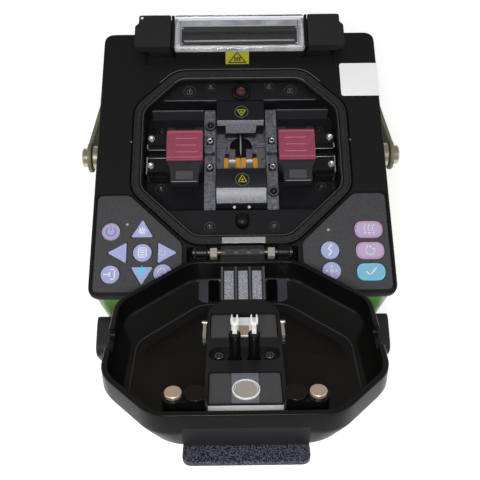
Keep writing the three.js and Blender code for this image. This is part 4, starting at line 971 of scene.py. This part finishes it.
# ---------- tilting monitor ----------
def make_monitor():
    profile = rounded([(-77.3, 14), (-77.3, 100), (-98, 100), (-98, 14)], (2, 5, 6, 3), 8)
    case = along_x(profile, -75, 75)
    notches = [box(*xs, -89.3, -76, 88, 101) for xs in ((-59.5, -45.5), (45.5, 59.5))]
    case = cut(case, *notches, along_y(rounded(rect(-55, 55, 20, 88), 2), -99, -95.6),
               rod_x(2.35, -65, 65, TILT_Y, TILT_Z))
    piece("monitor_case", case, heater_grey, "black_plastic", "monitor", bevel=0.8,
          replaces="monitor_housing")
    glass_plate = along_y(rounded(rect(-54.7, 54.7, 20.3, 87.7), 1.8), -97.7, -96)
    piece("monitor_glass", glass_plate, panel, "screen", "monitor", bevel=0.15, replaces="monitor_screen")
    active = along_y(rounded(rect(-48, 48, 24, 84), 1), -97.74, -97.6)
    piece("monitor_active", active, display, "screen", "monitor")
    arms = []
    for a, b in ((-59, -46), (46, 59)):
        arms += [rod_x(4.4, a, b, TILT_Y, TILT_Z, 0.4), box(a, b, TILT_Y, -75.9, TILT_Z - 4, TILT_Z + 4),
                 rod_x(2, a - 4, b + 4, TILT_Y, TILT_Z)]
    bracket = join(box(-62, 62, -76.9, -75.7, 89, 101), *arms)
    piece("monitor_mount", bracket, steel_dark, "steel", bevel=0.3, replaces="monitor_bracket")
    bolts = [turned(cap_screw(0, 0, 0, 1.8, 1), tilt(90, x, -76.9, TILT_Z)) for x in (-36, -12, 12, 36)]
    piece("monitor_mount_screws", merged(*bolts), steel_dark, "steel")


def make_inside():
    low, high = span("battery_module")
    module = join(box(-49.5, 49.5, low.y, 76, 14.5, 48),
                  along_y(rounded(rect(-51.7, 51.7, 12.3, 50.2), 2), 75.7, high.y))
    module = cut(module, box(-14, 14, high.y - 2, high.y + 1, 36, 44),
                 *[box(-44, 44, high.y - 0.5, high.y + 1, z, z + 0.8) for z in (18, 21, 24, 27)])
    piece("power_module", module, satin_black, "black_plastic", "battery", bevel=0.5,
          replaces="battery_module")
    board = slab(rect(-66, 66, -66, 66), 3, 60, 61.6)
    piece("circuit_board", board, board_green, "board", bevel=0.1, replaces="main_board")
    chips = [(-40, -20, 12, 9), (-10, 5, 16, 16), (28, -30, 10, 10), (40, 18, 14, 8), (-34, 34, 18, 12),
             (8, 44, 9, 6)]
    piece("circuit_chips", merged(*[box(x, x + w, y, y + d, 61.6, 63.4) for x, y, w, d in chips]),
          satin_black, "board", bevel=0.25)


make_case()
make_plate()
make_keys()
make_hinge()
make_chamber()
make_stage()
for side, sign in SIDES:
    make_clamp(side, sign)
make_heater()
make_cover()
make_handle()
make_monitor()
make_inside()


# ---------- floor, light and camera ----------
def make_studio():
    ground = bpy.data.objects.new("floor",
                                  mesh_of(prism(rect(-3000, 3000, -3000, 3000), -6, GROUND), 0.001))
    scene.collection.objects.link(ground)
    ground.data.materials.append(paint("floor_white", (0.92, 0.92, 0.92), 0.9, 0.005, 2,
                                       Emission_Color=(1, 1, 1, 1), Emission_Strength=0.45))
    world = bpy.data.worlds.new("studio")
    world.use_nodes = True
    tree = world.node_tree
    place = tree.nodes.new("ShaderNodeTexCoord").outputs["Generated"]
    height = fill(tree, tree.nodes.new("ShaderNodeSeparateXYZ"), Vector=place).outputs["Z"]
    sky = tree.nodes.new("ShaderNodeMix")
    sky.data_type = "RGBA"
    fill(tree, sky, A=(0.40, 0.34, 0.28, 1), B=(0.30, 0.31, 0.33, 1), Factor=height)
    fill(tree, tree.nodes["Background"], Color=sky.outputs["Result"])
    scene.world = world
    aim = Vector((0, -0.02, 0.1))
    for name, place, size, power in (("flash", (-0.02, -0.24, 0.56), 0.10, 1.35),
                                     ("left", (-0.75, -0.25, 0.65), 0.5, 1.6),
                                     ("right", (0.75, -0.3, 0.6), 0.5, 1.4)):
        data = bpy.data.lights.new(name, "AREA")
        data.size, data.energy = size, power
        light = bpy.data.objects.new(name, data)
        light.location = place
        light.rotation_euler = (aim - Vector(place)).to_track_quat("-Z", "Y").to_euler()
        scene.collection.objects.link(light)


def make_camera():
    pitch, yaw, roll = math.radians(68.99), math.radians(-0.80), math.radians(-0.10)
    ahead = Vector((-math.sin(yaw), math.cos(yaw), 0))
    right = Vector((math.cos(yaw), math.sin(yaw), 0))
    view = math.cos(pitch) * ahead - math.sin(pitch) * Vector((0, 0, 1))
    up = math.sin(pitch) * ahead + math.cos(pitch) * Vector((0, 0, 1))
    across = math.cos(roll) * right - math.sin(roll) * up
    above = math.sin(roll) * right + math.cos(roll) * up
    data = bpy.data.cameras.new("camera")
    data.lens, data.sensor_width = 52.43, 36
    data.clip_start = 0.01
    camera = bpy.data.objects.new("camera", data)
    axes = Matrix((across, above, -view)).transposed().to_4x4()
    camera.matrix_world = Matrix.Translation((-0.00283, -0.17178, TOP / 1000 + 0.32345)) @ axes
    scene.collection.objects.link(camera)
    scene.camera = camera
    scene.view_settings.view_transform = "Standard"


make_studio()
make_camera()
